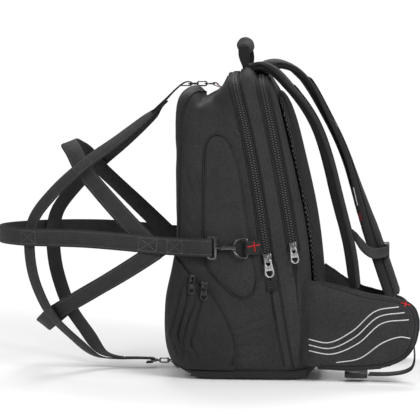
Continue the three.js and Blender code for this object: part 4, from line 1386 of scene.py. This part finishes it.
class PACK_OT_wings(bpy.types.Operator):
    """Binding, stripes, webbing and buckles of the hip wings"""

    bl_idname = "pack.wings"
    bl_label = "Hip wings"

    RIB_SHARES = (-0.36, -0.28, -0.2, 0.2, 0.28, 0.36)
    CENTRE = (175, SIDE_VIEW, 80)
    RIM_SPOT = (150, 151, 80)
    RIM_LEAN = 0.075
    SEWN_END = 124 * MM
    STITCH_INSET = 7 * MM
    SEAM_INSET = 5 * MM
    STRIPE_DROP = {"right": 0, "left": -12}

    def ribs(self, bm):
        """Raises grip ribs round a side-release clip, and the bars of its two halves."""
        low = Vector([min(v.co[k] for v in bm.verts) for k in range(3)])
        high = Vector([max(v.co[k] for v in bm.verts) for k in range(3)])
        middle, size = (low + high) / 2, high - low
        rib = (1.2 * MM, 0.78 * size.y, size.z + 1.0 * MM)
        bar = (0.3 * size.x, 1.6 * MM, 0.5 * size.z)
        blocks = [(Vector((share * size.x, 0, 0)), rib) for share in self.RIB_SHARES]
        blocks += [(Vector((0, edge * 0.5 * size.y, 0)), bar) for edge in (-1, 1)]
        for shift, block in blocks:
            matrix = Matrix.Translation(middle + shift) @ Matrix.Diagonal((*block, 1))
            bmesh.ops.create_cube(bm, size=1.0, matrix=matrix)

    def edge(self, side, sign, tree):
        """Binding round a wing, with a stitched seam inside it."""
        outward = Vector((0, sign, 0))
        x, y, z = self.RIM_SPOT
        lean = Vector((self.RIM_LEAN, sign, 0)).normalized()
        rim = contour(bpy.data.objects["hip_pad_" + side].data, Vector((x, sign * y, z)) * MM, lean)
        start = min(range(len(rim)), key=lambda i: rim[i].x)
        line = even([p for p in [*rim[start:], *rim[:start]] if p.x > self.SEWN_END], 4 * MM)
        x, y, z = self.CENTRE
        centre = Vector((x, sign * y, z)) * MM

        def inside(inset, lift):
            inner = [p + (centre - p).normalized() * inset for p in line]
            return laid(inner, tree, lift, -outward)

        bind, thread, seam = bmesh.new(), bmesh.new(), bmesh.new()
        tube(bind, line, [outward] * len(line), sizes().binding)
        piece(bind, f"hip_binding_{side}", finish("edge_binding"))
        stitches(thread, *inside(self.STITCH_INSET, 0.2 * MM))
        piece(thread, f"hip_stitching_{side}", finish("seam_thread"))
        strip(seam, *inside(self.SEAM_INSET, 0.1 * MM), 1.6 * MM, 0.6 * MM)
        piece(seam, f"hip_seam_{side}", finish("piping"))

    def stripes(self, side, sign, tree):
        """Pinstripes, which fall with the wing's lower end."""
        bm = bmesh.new()
        for pairs in WING_STRIPES:
            run = [(x, z + self.STRIPE_DROP[side] * ease(x, 110, 200)) for x, z in pairs]
            points, normals = laid(side_line(run, sign, 3 * MM), tree, 0.25 * MM, Vector((0, -sign, 0)))
            strip(bm, points, normals, 1.4 * MM, 0.5 * MM)
        piece(bm, f"hip_stripes_{side}", finish("stripe"))

    def belt(self, side):
        """Hip webbing and its half of the buckle."""
        webbing = bmesh.new()
        sweep(webbing, Ribbon(catmull(HIP_LINES[side], 3 * MM), across=held(0, 1, 0)).rows(30 * MM, 2.2 * MM))
        piece(webbing, f"hip_belt_{side}", finish("webbing"), [f"hip_webbing_{side}"])
        node = f"hip_buckle_{side}"
        buckle = bevel_copy(node, 1.6 * MM, 3)
        self.ribs(buckle)
        piece(buckle, f"hip_clip_{side}", finish("buckle_plastic"), [node])

    def execute(self, context):
        for side, sign in SIDES.items():
            tree = surface_tree("hip_pad_" + side)
            self.edge(side, sign, tree)
            self.stripes(side, sign, tree)
            self.belt(side)
        return {"FINISHED"}


class PACK_OT_zips(bpy.types.Operator):
    """Zip tapes, teeth, sliders and pulls"""

    bl_idname = "pack.zips"
    bl_label = "Zips"

    LOW_END = 40
    TAPE_MARGIN = 1.8
    TOOTH = {"width": 2.8 * MM, "height": 1.9 * MM, "share": 0.44, "aside": 1.9 * MM, "lift": 0.8 * MM}
    STITCH_SHIFTS = (-4.9 * MM, 4.9 * MM)

    def teeth(self, bm, line):
        """Two rows of teeth that mesh along a line."""
        pitch, tooth = sizes().tooth_pitch, self.TOOTH
        fine = even(line, pitch / 2)
        for i in range(1, len(fine) - 1):
            along = (fine[i + 1] - fine[i - 1]).normalized()
            out = Vector((0, -along.z, along.y)).normalized()
            side = out.cross(along).normalized()
            aside = -tooth["aside"] if i % 2 else tooth["aside"]
            spot = fine[i] + out * tooth["lift"] + side * aside
            matrix = place(spot, side * tooth["width"], out * tooth["height"], along * pitch * tooth["share"])
            bmesh.ops.create_cube(bm, size=1.0, matrix=matrix)

    def closure(self, name, node):
        """Tape, teeth and stitching of one zip."""
        tape, teeth, thread = bmesh.new(), bmesh.new(), bmesh.new()
        line, outs = zip_line(name, self.LOW_END, lift=-1.0 * MM)
        strip(tape, line, outs, lambda p: 2 * (zip_half(name, p.z / MM) + self.TAPE_MARGIN) * MM, 1.2 * MM)
        piece(tape, f"{name}_tape", finish("zip_tape"), [node])
        line, outs = zip_line(name, ZIP_ENDS[name][1] + 8, lift=-0.4 * MM)
        self.teeth(teeth, line)
        # The teeth's lighter colour is painted light against the groove's shade
        piece(teeth, f"{name}_teeth", finish("zip_coil"))
        for shift in self.STITCH_SHIFTS:
            stitches(thread, beside(line, outs, shift, 0.2 * MM), outs, 1.9 * MM, 1.5 * MM)
        piece(thread, f"{name}_stitches", finish("zip_stitch"))

    def execute(self, context):
        self.closure("front_zip", "front_zipper")
        self.closure("main_zip", "main_zipper")
        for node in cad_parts:
            if node.startswith("slider_"):
                # The pocket's slider takes the darkened silver, which is painted shade
                metal = finish("dark_pull_metal" if "pocket" in node else "slider_metal")
                piece(bevel_copy(node, 0.6 * MM), "metal_" + node, metal, [node])
            if node.startswith("pull_"):
                # The pocket's pull takes the darkened silver, which is painted shade
                metal = finish("dark_pull_metal" if "pocket" in node else "pull_metal")
                plate = pull_plate(node, PULL_LEANS[node.split("_")[1]])
                piece(plate, "metal_" + node, metal, [node], body=node)
        return {"FINISHED"}


class PACK_OT_hooks(bpy.types.Operator):
    """Snap hooks, gates, rings and their sewn tabs"""

    bl_idname = "pack.hooks"
    bl_label = "Hooks"

    SMALL = 0.66

    def execute(self, context):
        metal = finish("hook_metal")
        for spot in ("right", "left", "top", "bottom"):
            fine = 1.0 if spot in SIDES else self.SMALL
            tab, ring = f"ring_tab_{spot}", f"d_ring_{spot}"
            hook, gate = f"snap_hook_{spot}", f"hook_gate_{spot}"
            piece(soft_copy(tab, 2), f"tab_{spot}_webbing", finish("tab_webbing"), [tab])
            piece(soft_copy(ring, 2), f"ring_{spot}_metal", metal, [ring], sharp=70)
            piece(bevel_copy(hook, 0.9 * MM * fine, 3), f"hook_{spot}_metal", metal, [hook])
            rounded = bevel_copy(gate, 0.5 * MM * fine)
            piece(rounded, f"gate_{spot}_metal", metal, [gate], body=gate)
        return {"FINISHED"}


class PACK_OT_net(bpy.types.Operator):
    """Carry net of sewn webbing"""

    bl_idname = "pack.net"
    bl_label = "Net"

    UPPER_END = 360 * MM
    LOWER_END = 60 * MM
    LEVEL_END = {"z": 20 * MM, "x": -170 * MM}
    UPPER_WIDTH = 7 * MM
    LOWER_WIDTH = 8 * MM
    STITCH_INSET = 3.2 * MM
    BOX_LENGTH = 26 * MM
    BOX_HALF = 9 * MM
    BOX_REACH = 12 * MM
    BOX_MARGIN = 24

    def away(self, p):
        """Way out of the net at a point."""
        return p - Vector((max(p.x, NET_CENTRE.x), 0, NET_CENTRE.z))

    def face(self, s):
        """Which face of a section looks out of the net."""
        return 1 if s["out"].dot(self.away(s["p"])) > 0 else -1

    def folded(self, s):
        """Width of a long strap, which is folded narrow at its upper and lower ends."""
        full = sizes().webbing_width
        if s["p"].z > self.UPPER_END:
            return mix(self.UPPER_WIDTH, full, ease(-s["p"].x / MM, 104, 132))
        if s["p"].z < self.LOWER_END:
            return mix(full, self.LOWER_WIDTH, ease(s["p"].x / MM, -231, -168))
        return full

    def level(self, sign):
        """Side of a long strap's section, which lies level at its lower end."""
        def across(p, share):
            low = p.z < self.LEVEL_END["z"] and p.x > self.LEVEL_END["x"]
            return Vector((0, -sign, 0)) if low else None

        return across

    def stitching(self, name, ribbon, width):
        """Stitching along a run's edges and its stitched boxes, on its outer face."""
        full, depth = sizes().webbing_width, sizes().webbing_depth
        thread = bmesh.new()
        kept = [s for s in ribbon.spots if not callable(width) or width(s) > 0.9 * full]
        face = self.face(kept[len(kept) // 2])
        lift = face * (depth / 2 + 0.1 * MM)
        for edge in (-1, 1):
            shift = edge * (full / 2 - self.STITCH_INSET)
            line = [s["p"] + s["side"] * shift + s["out"] * lift for s in kept]
            stitches(thread, line, [s["out"] * face for s in kept])
        for x, y, z in BOX_STITCHES.get(name, ()):
            for sign in SIDES.values():
                near = Vector((x, sign * y, z)) * MM
                inner = ribbon.spots[self.BOX_MARGIN:-self.BOX_MARGIN]
                found = min(inner, key=lambda s: (s["p"] - near).length)
                if (found["p"] - near).length > self.BOX_REACH:
                    continue
                start, end = found["dist"] - self.BOX_LENGTH / 2, found["dist"] + self.BOX_LENGTH / 2
                lift = self.face(found) * (depth / 2 + 0.15 * MM)
                box_stitch(thread, ribbon, start, end, self.BOX_HALF, lift)
        piece(thread, name + "_stitching", finish("net_thread"))

    def execute(self, context):
        full = sizes().webbing_width
        far = [(x, -y, z) for x, y, z in NET_LONG]
        runs = {
            "net_right": (NET_LONG, {"facing": self.away, "across": self.level(-1)}, self.folded),
            "net_left": (far, {"facing": self.away, "across": self.level(1)}, self.folded),
            "net_upper": (mirrored(NET_UPPER), {"facing": self.away}, full),
            "net_lower": (mirrored(NET_LOWER), {"facing": self.away}, full),
            "net_middle": (mirrored(NET_MIDDLE), {"across": held(0, 0, 1)}, full),
        }
        for name, (points, lie, width) in runs.items():
            ribbon = Ribbon(catmull(points, 3 * MM), **lie)
            bm = bmesh.new()
            sweep(bm, ribbon.rows(width, sizes().webbing_depth))
            piece(bm, name + "_webbing", finish("net_webbing"), [name + "_strap"])
            self.stitching(name, ribbon, width)
        ribbon = Ribbon(catmull(NET_TOP, 2 * MM), across=held(0, 1, 0))
        bm = bmesh.new()
        sweep(bm, ribbon.rows(lambda s: mix(15, 46, ease(-s["p"].x / MM, 90, 122)) * MM, 1.6 * MM))
        piece(bm, "net_top_webbing", finish("net_webbing"), ["net_top_strap"])
        return {"FINISHED"}


class PACK_OT_trim(bpy.types.Operator):
    """Piping, seams, stitching and bar tacks on the bag"""

    bl_idname = "pack.trim"
    bl_label = "Trim"

    SKINS = {
        "front": ["front_panel_cloth"],
        "gusset": ["gusset_cloth"],
        "rear": ["rear_panel_cloth"],
        "pocket": ["front_pocket_cloth"],
        "bag": ["front_panel_cloth", "gusset_cloth", "rear_panel_cloth", "front_pocket_cloth"],
        "tape": ["front_zip_tape"],
    }
    PIECES = (
        {"part": "pipes", "name": "body_piping", "finish": "piping"},
        # The side panel's edge cord carries painted shade, not piping
        {"part": "soft", "name": "panel_piping", "finish": "soft_piping"},
        {"part": "garage", "name": "zip_garages", "finish": "handle_webbing"},
        {"part": "seams", "name": "body_seams", "finish": "piping"},
        {"part": "thread", "name": "body_stitching", "finish": "seam_thread"},
    )
    ARCH = {"low": 176, "high": 411, "middle": 0.3}
    PIPE_INSET = 1.4
    STITCH_INSET = 4.8
    SEAM = (3.0 * MM, 1.2 * MM)
    GARAGE_SHIFTS = (-5.4 * MM, 5.4 * MM)
    GARAGE_STITCH = (2 * MM, 1 * MM)

    def arch(self, skins, made):
        """Piped seam over the front panel."""
        outline = outline_points(self.ARCH["low"], self.ARCH["high"])
        line = even(bspline([Vector((front_seam(z), y, z)) * MM for y, z in outline]), 4 * MM)
        inward = [(Vector((p.x, 0, min(p.z, self.ARCH["middle"]))) - p).normalized() for p in line]
        tube(made["pipes"], *laid(line, skins["front"], 0.5 * MM, inward, 30 * MM), sizes().piping)

    def beside_zip(self, tree, name, sign, inset):
        """Line on the cloth along one edge of a zip."""
        line, ways = zip_line(name, ZIP_ENDS[name][1], shift=lambda z: sign * (zip_half(name, z) + inset))
        return laid(line, tree, 0.25 * MM, [-way for way in ways], 20 * MM)

    def zip_edges(self, skins, made):
        """Piping and stitching on the cloth along both zips."""
        edges = (
            ("front", "front_zip", -1), ("gusset", "front_zip", 1),
            ("gusset", "main_zip", -1), ("rear", "main_zip", 1),
        )
        for skin, name, sign in edges:
            tube(made["pipes"], *self.beside_zip(skins[skin], name, sign, self.PIPE_INSET), 1.0 * MM)
            stitches(made["thread"], *self.beside_zip(skins[skin], name, sign, self.STITCH_INSET))

    def side(self, skins, made, sign):
        """Seams, piping, a cord of painted shade round the raised panel, stitching and the patch on the zip's
        lower end, on one side.
        """
        def sewn(skin, pairs, lift, spacing=4 * MM):
            return laid(side_line(pairs, sign, spacing), skins[skin], lift, Vector((0, -sign, 0)))

        closed = [(body_line(z, "front_zip") - 0.6, z) for z in range(24, 150, 12)]
        for skin, run, aside in (("front", closed, 4), ("gusset", GUSSET_SEAM, 3.6)):
            strip(made["seams"], *sewn(skin, run, 0.1 * MM), *self.SEAM)
            stitches(made["thread"], *sewn("gusset", [(x + aside, z) for x, z in run], 0.2 * MM))
        tube(made["pipes"], *sewn("pocket", POCKET_SEAM, 0.9 * MM), 1.4 * MM)
        # Cord round the raised side panel; its darker colour is painted shade along the panel's edge
        tube(made["soft"], *sewn("front", [*TEARDROP, TEARDROP[0]], 1.0 * MM), 1.2 * MM)
        tube(made["pipes"], *sewn("bag", BASE_SEAM, 0.3 * MM), 1.2 * MM)
        points, outs = sewn("tape", GARAGE, 2.4 * MM, 2 * MM)
        strip(made["garage"], points, outs, 14 * MM, 2.0 * MM)
        rows = [beside(points, outs, shift, 1.1 * MM) for shift in self.GARAGE_SHIFTS]
        for row in rows:
            stitches(made["thread"], row, outs, *self.GARAGE_STITCH)
        for k in (1, 3, 5):
            row = even([rows[0][k], rows[1][k]], 1.2 * MM)
            stitches(made["thread"], row, [outs[k]] * len(row), *self.GARAGE_STITCH)

    def tacks(self):
        """Cross tacks on the tabs and wings, and the one on the top tab."""
        reds = bmesh.new()
        marks = [(f"tab_{side}_webbing", sign, row) for side, sign in SIDES.items() for row in TAB_MARKS]
        marks += [(f"hip_pad_{side}", sign, row) for side, sign in SIDES.items() for row in HIP_MARKS[side]]
        for name, sign, row in marks:
            ends = [Vector((x, sign * SIDE_VIEW, z)) * MM for x, z in (row["from"], row["to"])]
            points, outs = laid(even(ends, 1.5 * MM), surface_tree(name), 0.3 * MM, Vector((0, -sign, 0)))
            bar_tack(reds, points, outs, row["width"] * MM)
        crest = even([Vector((-29, y, 425)) * MM for y in (-6, 6)], 1.5 * MM)
        points, outs = laid(crest, surface_tree("tab_top_webbing"), 0.3 * MM, Vector((0, 0, -1)))
        bar_tack(reds, points, outs, 3 * MM)
        piece(reds, "bar_tacks", finish("tack_thread"))

    def execute(self, context):
        skins = {key: surface_tree(*names) for key, names in self.SKINS.items()}
        made = {row["part"]: bmesh.new() for row in self.PIECES}
        self.arch(skins, made)
        self.zip_edges(skins, made)
        for sign in SIDES.values():
            self.side(skins, made, sign)
        for row in self.PIECES:
            piece(made[row["part"]], row["name"], finish(row["finish"]))
        self.tacks()
        return {"FINISHED"}


class PACK_OT_stage(bpy.types.Operator):
    """Floor, light and camera"""

    bl_idname = "pack.stage"
    bl_label = "Stage"

    FLOOR_RADIUS = 1.05
    ROOM_LIGHT = 0.34
    BACKDROP_LIGHT = 1.02

    def floor(self, scene):
        """Round sheet of white paper under the pack."""
        bm = bmesh.new()
        bmesh.ops.create_circle(bm, cap_ends=True, segments=96, radius=self.FLOOR_RADIUS)
        mesh = bpy.data.meshes.new("floor")
        bm.to_mesh(mesh)
        bm.free()
        floor = bpy.data.objects.new("floor", mesh)
        scene.collection.objects.link(floor)
        white = Finish("floor_paper", 0.9, specular=0.1)
        white.colour(white.between(white.noise(0.6, detail=2), (0.93, 0.93, 0.93), (0.95, 0.95, 0.95)))
        mesh.materials.append(white.material)

    def room(self, scene):
        """Soft light from all round, and the brighter backdrop that is seen."""
        world = bpy.data.worlds.new("studio")
        world.use_nodes = True
        nodes, links = world.node_tree.nodes, world.node_tree.links
        backdrop = nodes.new("ShaderNodeBackground")
        for node, strength in ((nodes["Background"], self.ROOM_LIGHT), (backdrop, self.BACKDROP_LIGHT)):
            node.inputs["Color"].default_value = (1, 1, 1, 1)
            node.inputs["Strength"].default_value = strength
        seen = nodes.new("ShaderNodeMixShader")
        links.new(nodes.new("ShaderNodeLightPath").outputs["Is Camera Ray"], seen.inputs["Fac"])
        links.new(nodes["Background"].outputs["Background"], seen.inputs[1])
        links.new(backdrop.outputs["Background"], seen.inputs[2])
        links.new(seen.outputs["Shader"], nodes["World Output"].inputs["Surface"])
        scene.world = world

    def lamps(self, scene):
        """Area lamps turned to the pack."""
        for row in LAMPS:
            light = bpy.data.lights.new(row["name"], "AREA")
            light.size = row["size"]
            light.energy = row["power"]
            lamp = bpy.data.objects.new(row["name"], light)
            lamp.location = row["at"]
            lamp.rotation_euler = (LAMP_TARGET - lamp.location).to_track_quat("-Z", "Y").to_euler()
            scene.collection.objects.link(lamp)

    def camera(self, scene):
        """Camera on the pack's right side."""
        lens = bpy.data.cameras.new("camera")
        lens.lens = CAMERA["lens"]
        lens.sensor_width = CAMERA["sensor"]
        camera = bpy.data.objects.new("camera", lens)
        turn, rise = math.radians(CAMERA["turn"]), math.radians(CAMERA["rise"])
        back = Vector((math.sin(turn) * math.cos(rise), -math.cos(turn) * math.cos(rise), math.sin(rise)))
        camera.location = Vector(CAMERA["target"]) + back * CAMERA["away"]
        camera.rotation_euler = (-back).to_track_quat("-Z", "Y").to_euler()
        scene.collection.objects.link(camera)
        scene.camera = camera

    def execute(self, context):
        scene = context.scene
        self.floor(scene)
        self.room(scene)
        self.lamps(scene)
        scene.view_settings.view_transform = "Standard"
        self.camera(scene)
        return {"FINISHED"}


class PACK_PT_panel(bpy.types.Panel):
    """Lists the steps that dress the pack"""

    bl_idname = "PACK_PT_panel"
    bl_label = "Backpack"
    bl_space_type = "VIEW_3D"
    bl_region_type = "UI"
    bl_category = "Pack"

    def draw(self, context):
        for operator in OPERATORS:
            self.layout.operator(operator.bl_idname)
        for group in (context.scene.pack_sizes, context.scene.pack_colours):
            for key in group.__annotations__:
                self.layout.prop(group, key)


OPERATORS = (
    PACK_OT_shells, PACK_OT_pads, PACK_OT_handle, PACK_OT_harness, PACK_OT_wings, PACK_OT_zips, PACK_OT_hooks,
    PACK_OT_net, PACK_OT_trim, PACK_OT_stage,
)
CLASSES = (PackSizes, PackColours, *OPERATORS, PACK_PT_panel)


def register():
    for cls in CLASSES:
        bpy.utils.register_class(cls)
    bpy.types.Scene.pack_sizes = PointerProperty(type=PackSizes)
    bpy.types.Scene.pack_colours = PointerProperty(type=PackColours)


def unregister():
    del bpy.types.Scene.pack_colours
    del bpy.types.Scene.pack_sizes
    for cls in reversed(CLASSES):
        bpy.utils.unregister_class(cls)


def main():
    register()
    for step in ("shells", "pads", "handle", "harness", "wings", "zips", "hooks", "net", "trim", "stage"):
        getattr(bpy.ops.pack, step)()


if __name__ == "__main__":
    main()
